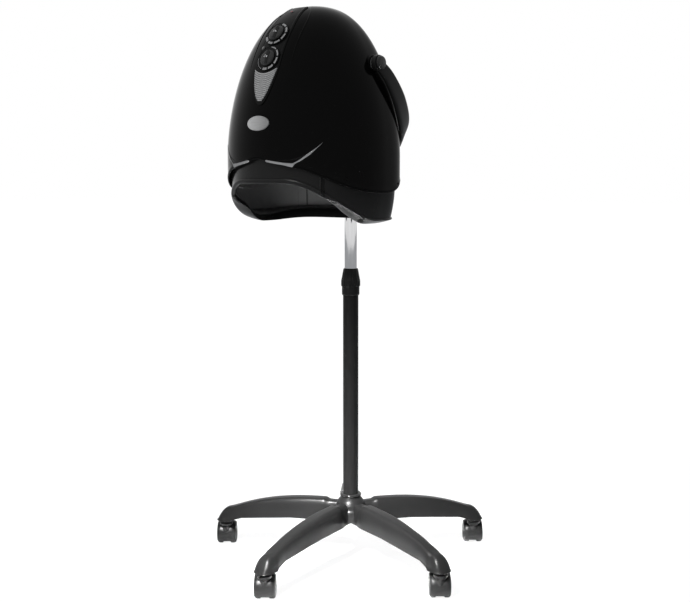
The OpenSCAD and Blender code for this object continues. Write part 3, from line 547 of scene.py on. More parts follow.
# the lip facets take a bright metal finish: a painted highlight on the gloss black shell
piece("shell_lip_highlight_facets", [lip_band(s * band_turns, band_low, band_high) for s in (1, -1)], "hood", "gloss_black",
      lip_highlight_paint)
chin = both_sides([14, 19, 24.6, 28.9, 33.1, 35.5], [905.5, 904.6, 905.6, 909.8, 915.6, 920],
                  [0.6, 1.4, 1.8, 1.8, 1.6, 0.6], [0.2, 0.6, 0.8, 0.8, 0.6, 0.2], lift=0.2)
piece("shell_chin_line", chin, "hood", "gloss_black", panel_black)

# %% [markdown]
# ## Control panel
# The panel is a satin strip laid on the front of the gloss shell. It carries the two dials on round
# seats. A thin raised border frames it, and on the shell to each side a ridge runs down from the crown.

# %% Panel and its borders
TIMER_Z, HEAT_Z = 1156.0, 1106.0


def panel_half(z):
    """Half width of the panel: 31, less towards the crown, and a tongue sqrt(1 - 0.985 u^1.3) below 1088."""
    u = np.clip((1088 - z) / 74, 0, 1)
    return 31 * (1 - 0.4 * (np.maximum(0, z - TIMER_Z) / 68) ** 2) * np.sqrt(1 - 0.985 * u ** 1.3)


rows = 1215 + (1014 - 1215) * np.linspace(0, 1, 110)[:, None] ** 1.2
cols = np.linspace(-1, 1, 41)[None]
share = np.abs(cols)
frill = 0.8 * np.exp(-((1 - share) * panel_half(rows) - 2.4) ** 2 / 0.8) * rolled((rows - 1040) / 40)
x = panel_half(rows) * cols
low = raised(face_turn(rows, x), rows + 0 * x, 0.4)
high = raised(face_turn(rows, x), rows + 0 * x, 2.2 + frill - 1.2 * rolled((share - 0.96) / 0.04))
plate = skin(np.concatenate([low, high[:, ::-1]], 1), ends="ladder")


def seat(z):
    """Origin and normal of the flat round seat of a dial."""
    t = front_slope(z)
    return np.array([0, MIDDLE - FRONT * swell(z), z]), np.array([0, -np.cos(t), np.sin(t)])


def on_seat(z, profile, **more):
    """A lathe part that stands on a dial's seat."""
    origin, normal = seat(z)
    return lathe(profile, origin, normal, **more)


seat_profile = rounded([(0, -8), (27.4, -8), (27.4, 3.4), (26.6, 3.4), (26.2, 2.2), (0, 2.2)],
                       [0, 1, 0.5, 0.4, 0.3, 0])[1:-1]
seats = [on_seat(z, seat_profile, turns=96) for z in (TIMER_Z, HEAT_Z)]
piece("control_panel_moulding", [plate] + seats, "hood", "panel_black", panel_black, ["control_panel"])
shoulder = both_sides([30, 33, 31, 27, 23.5, 21.5, 20],
                      [1221, 1206, 1188, 1165, 1140, 1112, 1085],
                      [3, 4, 4, 4, 4, 3, 1], [0.5, 1.0, 1.2, 1.2, 1.1, 0.8, 0.2])
piece("shell_shoulder_line", shoulder, "hood", "gloss_black", gloss_black)

# %% [markdown]
# ## Dials
# Each dial has a flat printed plate under its knob. The print is a ring of grey bars that grow
# clockwise, as on any temperature or time scale. Bars are thin closed plates that stand 0.3 mm proud
# of the printed one, so that they stay crisp at any distance.

# %% Dial plates and their bars
def bars(z, spans):
    """Arc bars on a dial: angle clockwise from the top, radius from r - w / 2 to r + w / 2."""
    origin, normal = seat(z)
    made = []
    for start, stop, radius, width in spans:
        a = np.radians(90 - np.linspace(start, stop, 14))[:, None]
        ring = np.array([[-0.5, 0], [0.5, 0], [0.5, 1], [-0.5, 1]])[None]
        r = radius + width * ring[..., 0]
        grid = np.stack([r * np.cos(a), r * np.sin(a), 3.3 + 0.35 * ring[..., 1] + 0 * a], 2)
        made.append(skin(placed(grid, origin, normal)))
    return made


plate_profile = rounded([(0, 2.4), (25.8, 2.4), (25.8, 3.1), (24.9, 3.35), (0, 3.35)], [0, 0.3, 0.3, 0.3, 0])[1:-1]
timer_bars = [(12, 44, 23.4, 4.0), (54, 86, 23.4, 4.2), (96, 128, 23.4, 4.4), (138, 170, 23.4, 4.6),
              (180, 212, 23.4, 4.7), (222, 252, 23.4, 4.8)]
heat_bars = [(4, 38, 24.2, 2.4), (46, 80, 23.9, 3.1), (89, 122, 23.6, 3.8), (131, 161, 23.4, 4.4),
             (170, 196, 23.3, 4.8), (206, 272, 24.8, 0.9)]
for name, z, spans in (("timer", TIMER_Z, timer_bars), ("heat", HEAT_Z, heat_bars)):
    piece(f"{name}_dial_plate", [on_seat(z, plate_profile, turns=96)], "hood", "scale_print", panel_black,
          [f"{name}_scale"])
    piece(f"{name}_dial_bars", bars(z, spans), "hood", "silver_trim", print_grey)


# %% Dial knobs
KNOB_R = 17.0


def grip(z):
    """A knob as a height over its disc: a domed skirt with a fine notched rim, and a tall bar across it whose
    sides fall by a smooth step. Height = the larger of skirt and bar."""
    origin, normal = seat(z)
    q = np.linspace(0, 2 * np.pi, 144, endpoint=False)[None]
    r = np.concatenate([np.linspace(0.3, 16.2, 46), [16.8, KNOB_R]])[:, None]
    x, y = r * np.cos(q), r * np.sin(q)
    skirt = 3.4 + 1.6 * (1 - (r / KNOB_R) ** 2) - 1.4 * rolled((r - 15.4) / 1.6)
    across = 1 - rolled((np.abs(x) - 2.0) / 1.5)
    length = 1 - rolled((np.abs(y) - 13.2) / 2.6)
    groove = 1.0 * np.exp(-(x / 0.7) ** 2) * (y > 2) * (y < 12)
    height = skirt + (8.4 - skirt) * across * length - groove * across * length
    rim = 1 - 0.012 * np.cos(36 * q) * rolled((r - 15) / 2)
    top = np.stack([x * rim, y * rim, 3.9 + height], 2)
    side, foot = (np.stack([r * np.cos(q), r * np.sin(q), 4.2 + 0 * q], 2) for r in (KNOB_R, 0.3))
    return skin(placed(np.concatenate([top, side, foot]), origin, normal))


def pointer(z):
    """The light line along the bar of a knob, a thin plate with rounded ends."""
    origin, normal = seat(z)
    ring = box_ring(0.55, 5.0, 0.5, 24)
    lift = np.array([11.6, 12.35, 12.45])
    wide = np.array([1, 1, 0.8])
    grid = np.concatenate([ring[None] * wide[:, None, None], 0 * ring[None, :, :1] + lift[:, None, None]], 2)
    grid[..., 1] += 7.2
    return skin(placed(grid, origin, normal))


for name, z in (("timer", TIMER_Z), ("heat", HEAT_Z)):
    piece(f"{name}_knob_moulding", [grip(z)], f"{name}_dial", "knob_black", knob_black, [f"{name}_knob"], crease=50)
    piece(f"{name}_knob_pointer", [pointer(z)], f"{name}_dial", "silver_trim", dull_grey)


# %% Lamps
def lamp(turn, z):
    """A lamp cap: a low dome in a thin collar, square to the face."""
    a, t = math.radians(turn), float(front_slope(z))
    origin = raised(turn, z, 0.0)
    normal = [math.sin(a) * math.cos(t), -math.cos(a) * math.cos(t), math.sin(t)]
    q = np.linspace(0, 1.45, 10)
    dome = np.stack([3.1 * np.cos(q), 2.6 + 1.7 * np.sin(q)], 1)
    cap = lathe(np.vstack([[(0.4, -5), (3.1, -5)], dome]), origin, normal, turns=40)
    return cap, turned([(3.15, 0.6), (4.6, 0.6), (4.3, 3.0), (3.15, 3.3)], 0.4, origin, normal, turns=40)


for name, turn_at, z, slot, finish in (("power_lamp", 0.0, 1204.0, "lamp_red", red_lens),
                                       ("heat_lamp", -10.0, 1129.0, "lamp_clear", clear_lens)):
    cap, collar = lamp(turn_at, z)
    piece(name + "_cap", [cap], "hood", slot, finish, [name])
    piece(name + "_collar", [collar], "hood", "silver_trim", dull_grey)

# %% [markdown]
# ## Grille and badge plate
# The tongue below the dials is a ribbed grey grille. Its ribs are a wave added to the height of one
# surface that follows the shell. The badge is a bare oval plate, domed, with a rounded rim.

# %% Grille
TONGUE_TOP, TONGUE_TIP = 1085.0, 1021.5
TONGUE = TONGUE_TOP - TONGUE_TIP


def tongue_half(z):
    """Half width of the tongue: 28.5 sqrt(1 - 0.985 u^1.05), u = the way down from its top."""
    u = np.clip((TONGUE_TOP - z) / TONGUE, 0, 1)
    return 28.5 * np.sqrt(1 - 0.985 * u ** 1.05)


RIBS = 13.5
ribbed = Finish("ribbed_grey_grille", Specular_IOR_Level=0.2)
phase = (1 - ribbed.surface(1)) * (2 * math.pi * RIBS)
# painted light and shade: the rib crests get a light grey and the troughs a dark grey
crest_with_painted_light = phase.math("SINE", phase) * 0.35 + ribbed.noise(300, 3) * 0.3 + 0.35
ribbed.set("Base Color", ribbed.mix(crest_with_painted_light, colour(0.06), colour(0.27)))
ribbed.set("Roughness", crest_with_painted_light * 0.2 + 0.35)
z = np.linspace(TONGUE_TOP, TONGUE_TIP, 190)[:, None]
side = np.linspace(-1, 1, 49)[None]
x = tongue_half(z) * side
arc = z + 0 * x - 9.5 * (1 - side ** 2) * (z - TONGUE_TIP) / TONGUE
rib = 0.5 * np.sin(2 * np.pi * RIBS * (z - TONGUE_TIP) / TONGUE)
rib = rib * (1 - rolled((np.abs(side) - 0.93) / 0.05)) * rolled((1083 - z) / 3)
border = 0.7 * rolled((np.abs(side) - 0.93) / 0.04) + 0.7 * rolled((z - 1082.6) / 1.2)
crown = 4.0 + rib + np.minimum(border, 0.7) - 1.2 * rolled((np.abs(side) - 0.985) / 0.015)
under = raised(face_turn(arc, x), arc, 2.6)
over = raised(face_turn(arc, x), arc, crown)
piece("grille_ribs", [skin(np.concatenate([under, over[:, ::-1]], 1), ends="ladder")], "hood", "silver_trim",
      ribbed.material, ["grille"], crease=70)

# %% Badge plate
q = np.linspace(0, 2 * np.pi, 96, endpoint=False)[None]
ring = np.array([1.0, 1.0, 0.985, 0.95, 0.90, 0.86, 0.84, 0.7, 0.5, 0.3, 0.1])[:, None]
lift = np.array([0.2, 2.2, 2.9, 3.2, 3.2, 2.9, 2.6, 2.9, 3.15, 3.3, 3.35])[:, None]
height = 978 + 14.5 * ring * np.sin(q)
grid = raised(face_turn(height, 28 * ring * np.cos(q)), height, lift + 0 * q)
brushed = Finish("brushed_badge_face_painted_shade", Metallic=0.4)
# painted shade: the face goes from a light grey at one side to a dark grey at the other, across x
shade = brushed.node("SeparateXYZ", None, {0: brushed.node("TexCoord", out=3)}, out=0)
shade = brushed.node("MapRange", None, {"Value": shade, 1: -0.028, 2: 0.022})
streak = brushed.noise(420, 4, (0.1, 1, 1))
brushed.set("Base Color", brushed.mix(shade * 0.75 + streak * 0.35, colour(0.36), colour(0.13)))
brushed.set("Roughness", streak * 0.15 + 0.28)
piece("badge_plate", [skin(grid)], "hood", "silver_trim", brushed.material, ["badge"])

# %% [markdown]
# ## Skirt and visor
# Under the shell hangs a skirt of smoked plastic in separate panels: a visor that slides up in front
# between two guides, one panel for each side and one behind. All have the same cross-section: a
# thin wall that ends in a fat rolled rim. The section is carried round the hood between two angles.

# %% Skirt panels
SKIRT_IN, SKIRT_WALL, SEAT_LIP, OVERLAP = 9.0, 3.0, 5.7, 12.0
ROLL = 24.0
VISOR_END, GUIDE_END, REAR_END, JOINT = 42.0, 45.0, 150.0, 0.12


def wall_loop(turn, lip):
    """One loop across the wall: down the outside, round the rolled rim and up the inside. Away from the front
    the rim grows inwards into a fat roll: 3 + 24 w thick and 24 tall, w rising from 0 at 44 degrees to 1 at 62."""
    top, rim = shell_edge(turn) + OVERLAP, rim_edge(turn)
    fat = ROLL * rolled((from_front(turn) - 44) / 18)
    down = np.linspace(0, 1, 18)[:, None]
    z_out = top - (top - rim - 11) * down
    out = on_hood(turn, z_out, skirt_draw(z_out), SKIRT_IN - lip * (1 - rolled(down * 5)))
    q = np.linspace(0, np.pi, 18)[1:-1, None]
    z_roll = rim + 5.5 * (1 + np.cos(q))
    inset = SKIRT_IN - 3.5 * np.sin(q) ** 0.8 + fat * rolled((q - 1.2) / 1.9) ** 0.8
    roll = on_hood(turn, z_roll, skirt_draw(z_roll), inset)
    z_up = rim + (top - rim) * np.linspace(0, 1, 34)[:, None]
    climb = np.clip((z_up - rim) / ROLL, 0, 1)
    inset = SKIRT_IN + SKIRT_WALL + fat * np.sqrt(np.maximum(0, 1 - climb ** 2))
    back = on_hood(turn, z_up, skirt_draw(z_up), inset)
    return np.concatenate([out, roll, back])


def skirt_panel(start, stop, count, lip=SEAT_LIP):
    """The loop at each even step between two angles, capped across the wall at both ends."""
    steps = np.linspace(step_of(np.float64(start)), step_of(np.float64(stop)), count)
    grid = wall_loop(even(steps)[None], lip)
    return skin(np.swapaxes(grid, 0, 1), ends="ladder")


piece("visor_panel", [skirt_panel(-VISOR_END + JOINT, VISOR_END - JOINT, 90, 0.0)], "visor_body", "smoked", smoked,
      ["visor"])
for name, start, stop in (("left", GUIDE_END, REAR_END), ("right", 360 - REAR_END, 360 - GUIDE_END)):
    piece(f"side_panel_{name}", [skirt_panel(start + JOINT, stop - JOINT, 110)], "hood", "smoked", smoked,
          [f"side_skirt_{name}"])
piece("rear_panel", [skirt_panel(REAR_END, 360 - REAR_END, 70)], "hood", "smoked", smoked, ["rear_skirt"])
seams = []
for turn_at in (160.0, 200.0):
    z = np.linspace(rim_edge(turn_at) + 26, shell_edge(turn_at) + 4, 12)[:, None]
    inset = np.array([[11.5, 11.5, 12.5, 12.5]])
    across = turn_at + np.array([[-0.45, 0.45, 0.45, -0.45]]) + 0 * z
    seams.append(skin(on_hood(across, z + 0 * inset, skirt_draw(z), inset)))
piece("rear_panel_seams", seams, "hood", "panel_black", panel_black)
guides = [skirt_panel(VISOR_END, GUIDE_END, 6), skirt_panel(360 - GUIDE_END, 360 - VISOR_END, 6)]
piece("visor_guide_strips", guides, "hood", "panel_black", panel_black, ["visor_guides"])


# %% [markdown]
# ## Lining
# Inside, a bowl spreads the warm air: it is a smooth grey moulding with rows of round holes. The
# bowl is one closed skin. The holes are drawn by its finish from the surface's own UV map: each cell of
# a fine lattice holds a round dark spot, painted shade inside the holes, and the same spot is pressed in as relief.

# %% Lining bowl
BOWL_TOP, BOWL_DROP, BOWL_SIZE = 1064.0, 150.0, 0.78


def bowl_rows(v, inset, turn):
    """Dome from 1064 down to just above the shell's edge; near its hem it widens to meet the skirt."""
    top = BOWL_TOP - inset
    edge = shell_edge(turn) + 6
    z = top - (top - edge) * v ** 1.5
    t = np.clip((top - z) / BOWL_DROP, 0, 1)
    dome = BOWL_SIZE * (1 - (1 - t) ** 2) ** (1 / 2.2)
    u = rolled((v - 0.62) / 0.38)
    size = dome + (skirt_draw(z) - BOWL_SIZE) * u
    clear = 2 * rolled((np.cos(np.radians(turn)) - 0.45) / 0.2)
    return on_hood(turn, z, size, inset + (12.5 + clear) * u)


turn = even(np.linspace(0, 360, 160, endpoint=False))[None]
v = np.linspace(0.03, 1, 70)[:, None]
perforated = Finish("perforated_grey_lining", Specular_IOR_Level=0.4)
uv = perforated.node("UVMap", {"uv_map": "surface"})
cell = perforated.node("VectorMath", {"operation": "MULTIPLY"}, {0: uv, 1: (64, 46, 0)})
cell = perforated.node("VectorMath", {"operation": "FRACTION"}, {0: cell})
away = perforated.node("VectorMath", {"operation": "DISTANCE"}, {0: cell, 1: (0.5, 0.5, 0)}, out=1)
inner_half = perforated.node("SeparateXYZ", None, {0: uv}, out=1)
zone = perforated.node("MapRange", None, {"Value": inner_half, 1: 0.66, 2: 0.68})
hole_with_painted_shade = perforated.node("MapRange", None, {"Value": away, 1: 0.28, 2: 0.22}) * zone
mottle = perforated.noise(60, 4)
plain_grey = perforated.mix(mottle, colour(0.040), colour(0.052))
# the near-black spots are painted shade inside the holes
perforated.set("Base Color", perforated.mix(hole_with_painted_shade, plain_grey, colour(0.004)))
perforated.set("Roughness", hole_with_painted_shade * 0.4 + mottle * 0.1 + 0.38)
perforated.bump(1 - hole_with_painted_shade, 0.8, 0.0006)
bowl = np.concatenate([bowl_rows(v, 0, turn), bowl_rows(v[::-1], 2, turn)])
piece("lining_bowl", [skin(bowl)], "hood", "liner_grey", perforated.material, ["inner_liner"], crease=60)

# %% [markdown]
# ## Fork
# Two flat arms rise from a socket on the column, run round the corners of the hood and end in round
# eyes at the pivots. Each is a rounded bar carried along a smooth curve through a few points.

# %% Fork arms
SOCKET_LOW, SOCKET_TOP = 895.0, 953.0
PIVOT = (161.1, -121.0, 1100.0)
TINE_X, TINE_T = 155.6, 11.0


def curve_through(points, steps):
    """Catmull-Rom curve: on each span half of 2b + (c-a)w + (2a-5b+4c-d)w^2 + (3b-a-3c+d)w^3."""
    p = np.asarray(points, float)
    spans = len(p) - 3
    u = np.linspace(0, 1, steps) * spans
    i = np.minimum(spans - 1, u.astype(int))
    w = (u - i)[:, None]
    a, b, c, d = p[i], p[i + 1], p[i + 2], p[i + 3]
    return 0.5 * (2 * b + (c - a) * w + (2 * a - 5 * b + 4 * c - d) * w ** 2 + (3 * b - a - 3 * c + d) * w ** 3)


arm_points = [(-60, 0, 931), (0, 0, 931), (62, -1, 932), (120, -8, 940), (164, -30, 972), (178, -63, 1022),
              (173, -95, 1070), PIVOT, (153.1, -149, 1126)]
path = curve_through(arm_points, 110)
along = unit(np.gradient(path, axis=0))
u = np.linspace(0, 1, 110)[:, None]
away = unit(np.concatenate([path[:, :1] * (1 - u) * 0.6 + (0.15 + u) * 150,
                            (path[:, 1:2] - MIDDLE) * (1 - u) ** 1.5, 0 * u], 1))
side = unit(np.cross(along, away))
out = np.cross(side, along)
width = 27 + 11 * np.sin(np.pi * u) ** 2 - 3 * rolled((u - 0.9) / 0.1)
bar = box_ring(0.5, 0.5, 0.42, 40)[None] * np.concatenate([width, 10 + 0 * u], 1)[:, None]
# the front edge of the arm swells by up to half its share of the width
forward = np.sign(bar[..., 0]) * np.sign(side[:, 1:2]) < 0
bar[..., 0] += forward * bar[..., 0] * 0.5 * np.sin(np.pi * u) ** 2
arm = sweep(path, side, out, bar)
mirror = np.array([-1, 1, 1])
other = (arm[0] * mirror, arm[1], arm[2])
eye = [(5.2, 0), (16.2, 0), (16.2, TINE_T), (5.2, TINE_T)]
eyes = [turned(eye, 1.6, (s * TINE_X, *PIVOT[1:]), (s, 0, 0)) for s in (-1, 1)]
socket = rounded([(13.55, SOCKET_LOW), (18, SOCKET_LOW), (18, SOCKET_TOP), (0.5, SOCKET_TOP)], [0.5, 2, 4, 0])
socket = np.vstack([socket, [(0.5, SOCKET_TOP - 6), (13.55, SOCKET_TOP - 6)]])
piece("fork_casting", [arm, other, *eyes, lathe(socket, bored=True)], "fork_body", "fork_grey", fork_grey, ["fork"],
      crease=50)


# %% Pivot hardware
def at_pivot(side, profile, **more):
    """A lathe part on the tilt axis; heights are measured outwards from the middle of the hood."""
    return lathe(profile, (0, *PIVOT[1:]), (side, 0, 0), **more)


def fluted(count, deep, low, high):
    """Radius cut by smooth flutes between two heights: r - deep ((1 + cos nq) / 2)^1.5."""
    def shape(q, r, z):
        band = rolled((z - low) / 2) * rolled((high - z) / 2) * (r > 4)
        return r - deep * band * (0.5 + 0.5 * np.cos(count * q)) ** 1.5
    return shape


knob = rounded([(5.1, 166.9), (12.8, 166.9), (14.4, 168.2), (14.4, 171), (11.6, 174.2), (0.6, 174.9)],
               [0, 0.6, 1, 1.6, 2.5, 0])
knob = np.vstack([knob, [(0.6, 170.9), (5.1, 170.9)]])
for side_name, s in (("left", 1), ("right", -1)):
    piece(f"hand_knob_{side_name}_moulding",
          [at_pivot(s, knob, shape=fluted(18, 0.5, 167.6, 172.6), bored=True, turns=112)],
          f"knob_{side_name}", "knob_black", knob_black, [f"hand_knob_{side_name}"])
boss = [(5.1, 107), (22, 107), (22, 111), (17, 111.5), (17, 152), (14.5, 153), (5.1, 153)]
disc = [(5.4, 153.3), (14, 153.3), (14, 155.3), (5.4, 155.3)]
for name, section, soft, *rest in (
        ("side_boss_mouldings", boss, 1.0, "hood", "gloss_black", gloss_black, ["side_bosses"]),
        ("friction_discs", disc, 0.3, "fork_body", "fibre", washer_fibre, ["friction_washers"])):
    piece(name, [at_pivot(s, rounded(section, soft, closed=True), bored=True) for s in (-1, 1)], *rest)
bolt = rounded([(0.3, 101.7), (8.5, 101.7), (9, 106.7), (5, 106.8), (5, 169.4), (4.4, 170.2), (0.3, 170.2)],
               [0, 0.6, 0.6, 0.3, 0.3, 0.5, 0])
piece("pivot_bolt_turnings", [at_pivot(s, bolt, turns=48) for s in (-1, 1)], "hood", "steel", steel,
      ["pivot_bolts"])

# %% [markdown]
# ## Column
# A chrome tube slides in a black one. A moulded collar with tapered flutes squeezes a split nylon
# bush round the chrome tube. Tube ends are drawn with real wall thickness and rounded edges.

# %% Tubes, clamp and bushes
TUBE_WALL = 1.5


def tube(radius, low, high):
    """A tube with its wall's thickness and softened rims."""
    bore = radius - TUBE_WALL
    return turned([(bore, low), (radius, low), (radius, high), (bore, high)], 0.5, turns=96)


def collar_flutes(q, r, z):
    """The collar's 16 flutes, 0.9 deep, that fade out at both ends: 0.9 ((1 + cos 16q) / 2)^3 off the radius."""
    return r - (r > 16) * 0.9 * rolled((664 - z) / 6) * rolled((z - 631) / 2) * (0.5 + 0.5 * np.cos(16 * q)) ** 3


piece("chrome_tube_drawn", [tube(13.5, 250, 945)], "mast", "chrome", chrome, ["chrome_tube"])
piece("outer_tube_drawn", [tube(17.25, 104, 622)], "base", "black_tube", tube_black, ["outer_tube"])
nut = [(18.7, 630), (21.2, 630), (21.45, 632), (21.45, 642), (19.4, 652), (16.6, 668), (15.2, 670), (13.8, 670),
       (13.8, 664), (15.1, 663), (15.1, 648), (18.7, 647)]
piece("clamp_collar_moulding", [turned(nut, 1.0, turns=144, shape=collar_flutes)], "clamp_collar", "base_black",
      nylon_black, ["clamp_nut"])
sleeve = [(17.35, 610), (18.65, 610), (19.65, 612), (19.65, 629.7), (18.6, 629.7), (18.6, 646), (17.35, 646)]
piece("clamp_socket_moulding", [turned(sleeve, 0.6, turns=96)], "base", "base_black", nylon_black, ["clamp_socket"])

# %% [markdown]
# ## Star base
# Five hollow legs arch from a hub to the casters. A leg's section is an arch: the outer wall goes
# over the back and the inner wall returns under it, so the leg is open below as a moulding is. The
# section's width and height change along the leg, and the tip closes as a rounded nose.

# %% Legs and hub
BASE_R = 310.0
LEG_TURNS = -90 + 2.4 + 72 * np.arange(5)


def leg_back(r):
    """Height of the leg's back: a low neck by the hub, a shoulder, a fall by a power of 2.6 and a round nose."""
    fall = 139 - 4 * (1 - rolled((r - 50) / 12)) - 50 * (np.maximum(0, r - 27) / 283) ** 2.6
    return fall + 3 * np.exp(-((r - 305) / 14) ** 2) - 21 * np.maximum(0, (r - 306) / 25) ** 2.2


def leg_belly(r):
    """Height of the leg's lower edge: level by the hub, rising slowly, then down to the socket at the tip."""
    rise = 92 - 3 * np.clip(r / 140, 0, 1) - 14 * np.clip((r - 140) / 124, 0, 1) - 9 * np.clip((r - 264) / 28, 0, 1)
    return rise - 3 * rolled((r - 290) / 3)


def leg_half(r):
    """Half width: 16 in the neck by the hub, up to 22.6 on the leg, 18.6 before the tip, 21 round it, closing as
    a half circle."""
    w = np.interp(r, [0, 44, 62, 140, 262, 290, 331], [16, 17, 21.5, 22.6, 18.6, 21, 21])
    return w * np.sqrt(np.clip(1 - (np.maximum(0, r - BASE_R) / 21.2) ** 2, 0.0004, 1))


def leg(turn):
    """Sections across the leg: an outer arch x = w |cos|^0.42, z = belly + h |sin|^0.55, drawn in a little at the
    top and brimmed round the tip, and an inner arch 4 narrower and 4.5 lower that goes back under it."""
    r = np.concatenate([np.linspace(18.5, 296, 80), np.linspace(298, 331, 34)])
    q = np.linspace(0, np.pi, 41)
    c, s = np.cos(q), np.sin(q)
    w, low, top = leg_half(r)[:, None], leg_belly(r)[:, None], leg_back(r)[:, None]
    shoulder = 1 - 0.14 * s[None] ** 0.6
    tip = rolled((r - 284) / 12)[:, None]
    brim = 1 + 0.09 * tip * (1 - rolled((s[None] ** 0.55 - 0.16) / 0.1)) - 0.10 * tip * s[None]
    outer_x = w * np.sign(c) * np.abs(c) ** (0.42 + 0.2 * tip) * shoulder * brim
    outer_z = low + (top - low) * s[None] ** 0.55
    hollow = (rolled((r - 36) / 4) * rolled((289 - r) / 5))[:, None]
    inner_x = (w - 4) * (np.sign(c) * np.abs(c) ** 0.42)[::-1]
    inner_z = low + (top - low - 4.5) * hollow * (s[None] ** 0.6)[:, ::-1] + 0.02
    xs, zs = np.concatenate([outer_x, inner_x + 0 * w], 1), np.concatenate([outer_z, inner_z], 1)
    a = math.radians(turn)
    x = r[:, None] * math.cos(a) - xs * math.sin(a)
    y = r[:, None] * math.sin(a) + xs * math.cos(a)
    return skin(np.stack([x, y, zs], 2), ends="ladder")


hub = [(6.2, 92.2), (33, 92.2), (36, 95), (36, 117), (32, 123), (33.5, 129), (28.5, 140), (21, 148), (17.4, 148),
       (17.4, 104), (6.2, 104)]
hub = turned(hub, [1, 2, 2, 3, 5, 5, 5, 2, 0.5, 1, 1], steps=6, turns=96)
piece("star_base_moulding", [leg(t) for t in LEG_TURNS] + [hub], "base", "base_black", nylon_black, ["star_base"],
      crease=45)
collar = [(17.6, 148.3), (22, 148.3), (24.5, 150.4), (24.5, 153.6), (22, 155.8), (17.6, 155.8)]
collar = turned(collar, [0.4, 1, 2, 2, 2, 0.4], steps=6, turns=96)
piece("hub_collar", [collar], "base", "collar_grey", collar_black, ["hub_ring"])

# %% [markdown]
# ## Casters
# A twin-wheel caster is a barrel: a curved cover over two wheels on one axle, and a short neck round
# the stem. The cover's section, an arch with rolled edges, is swept round the axle from floor side to
# floor side. Each caster is placed straight into the frame, so its swivel and spin stay exact.

# %% Caster parts
HEADING = math.radians(-52.5)
FORWARD = np.array([math.cos(HEADING), math.sin(HEADING), 0])
AXLE = np.array([-math.sin(HEADING), math.cos(HEADING), 0])
LEGS = np.radians(LEG_TURNS)
STEMS = np.stack([BASE_R * np.cos(LEGS), BASE_R * np.sin(LEGS), 0 * LEGS], 1)
WHEEL_R, TRAIL = 25.0, 18.0


def cover(centre):
    """The cover: radius 28.4 drawn in at its edges, carried round the axle through 236 degrees."""
    rim = rounded([(-20.8, 24.4), (-22.0, 25.2), (-15.5, 28.4), (15.5, 28.4), (22.0, 25.2), (20.8, 24.4)],
                  [0.3, 1.2, 6.5, 6.5, 1.2, 0.3], 7, closed=True)
    q = np.radians(np.linspace(-32, 204, 64))[:, None]
    r = rim[None, :, 1]
    grid = np.stack([r * np.cos(q), rim[None, :, 0] + 0 * q, r * np.sin(q)], 2)
    return skin(placed(grid, centre, (0, 0, 1), FORWARD))


def web(centre):
    """The plate between the wheels, a disc cut level below, with softened faces."""
    q = np.radians(np.linspace(-33, 205, 60))
    x, z = 27.4 * np.cos(q)[None], 27.4 * np.sin(q)[None]
    lift = np.array([-8.2, -8.2, 8.2, 8.2])[:, None]
    size = np.array([0.97, 1, 1, 0.97])[:, None]
    grid = np.stack([x * size, 0 * x + lift, z * size], 2)
    return skin(placed(grid, centre, (0, 0, 1), FORWARD))


def wheel(centre, side):
    """Wheel: a lathe profile with a tread, a stepped face and a hub cap."""
    corners = [(3.05, 3.2), (23.4, 3.2), (WHEEL_R, 4.8), (WHEEL_R, 12.6), (22.6, 16.2), (18.4, 17.4), (17.4, 16.6),
               (9.5, 17.0), (8.4, 17.9), (3.05, 17.9)]
    softening = [0.3, 0.8, 1, 2.2, 1.4, 0.8, 0.8, 0.6, 0.8, 0.4]
    return turned(corners, softening, centre + side * 5.4 * AXLE, side * AXLE, turns=72)


neck = [(4.1, 33), (9.6, 33), (9.8, 46), (14.8, 51), (14.8, 55.2), (14, 56.4), (4.1, 56.4)]
axle = rounded([(0.3, -21), (3, -21), (3, 21), (0.3, 21)], 0.4)
for n, stem in enumerate(STEMS, 1):
    centre = stem - TRAIL * FORWARD + np.array([0, 0, WHEEL_R])
    parts = [cover(centre), web(centre), turned(neck, 1.2, stem), lathe(axle, centre, AXLE, turns=32)]
    piece(f"caster_{n}_cover", parts, f"caster_{n}", "caster_black", caster_black, [f"caster_{n}_hood"])
    for side, letter in ((1, "a"), (-1, "b")):
        # the first wheel of each pair is on the far side of the axle
        piece(f"caster_{n}_wheel_{letter}", [wheel(centre, -side)], f"wheel_{n}_{letter}", "caster_black",
              caster_black, [f"wheel_{n}{letter}"])
pin = rounded([(0.3, 40), (4, 40), (4, 57), (8, 57.2), (8, 62.6), (5.5, 62.8), (5.5, 74.5), (0.3, 75)],
              [0, 0.4, 0.3, 0.5, 0.5, 0.3, 0.8, 0])
piece("caster_stem_turnings", [lathe(pin, stem, turns=40) for stem in STEMS], "base", "steel", steel,
      ["caster_stems"])

# %% [markdown]
# ## Gland, screws and what stays
# The cord gland and the small screws are turned parts. The parts inside the hood and the column are
# right as they are, so their nodes stay and only get a proper finish.

# %% Gland
GLAND_TURN, GLAND_Z = 197.0, 974.0
gland_x, gland_y = (float(v) for v in oval(np.float64(GLAND_TURN), swell(GLAND_Z), 0))
gland = [(3.75, -14), (8, -14), (8, -12), (12, -12), (12, -7), (8, -7), (8, 4), (11, 4), (10.6, 8), (3.75, 8)]
piece("cord_gland_moulding", [turned(gland, 0.7, (gland_x, gland_y, GLAND_Z), (0, 1, 0))], "hood", "panel_black",
      panel_black, ["cord_gland"])

# %% Finishes for the nodes that stay
kept = {steel: ["base_bolt", "motor", "motor_mount", "thermal_cutout"],
        white_nylon: ["split_bush", "guide_bush", "timer_unit", "heat_switch", "blower_wheel"],
        mica_board: ["heater"], nylon_black: ["tube_cap"], gloss_black: ["skirt_screws"]}
for finish, names in kept.items():
    for name in names:
        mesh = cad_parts[name].data
        mesh.materials.clear()
        mesh.materials.append(finish)
print("nodes refinished", sum(len(names) for names in kept.values()))

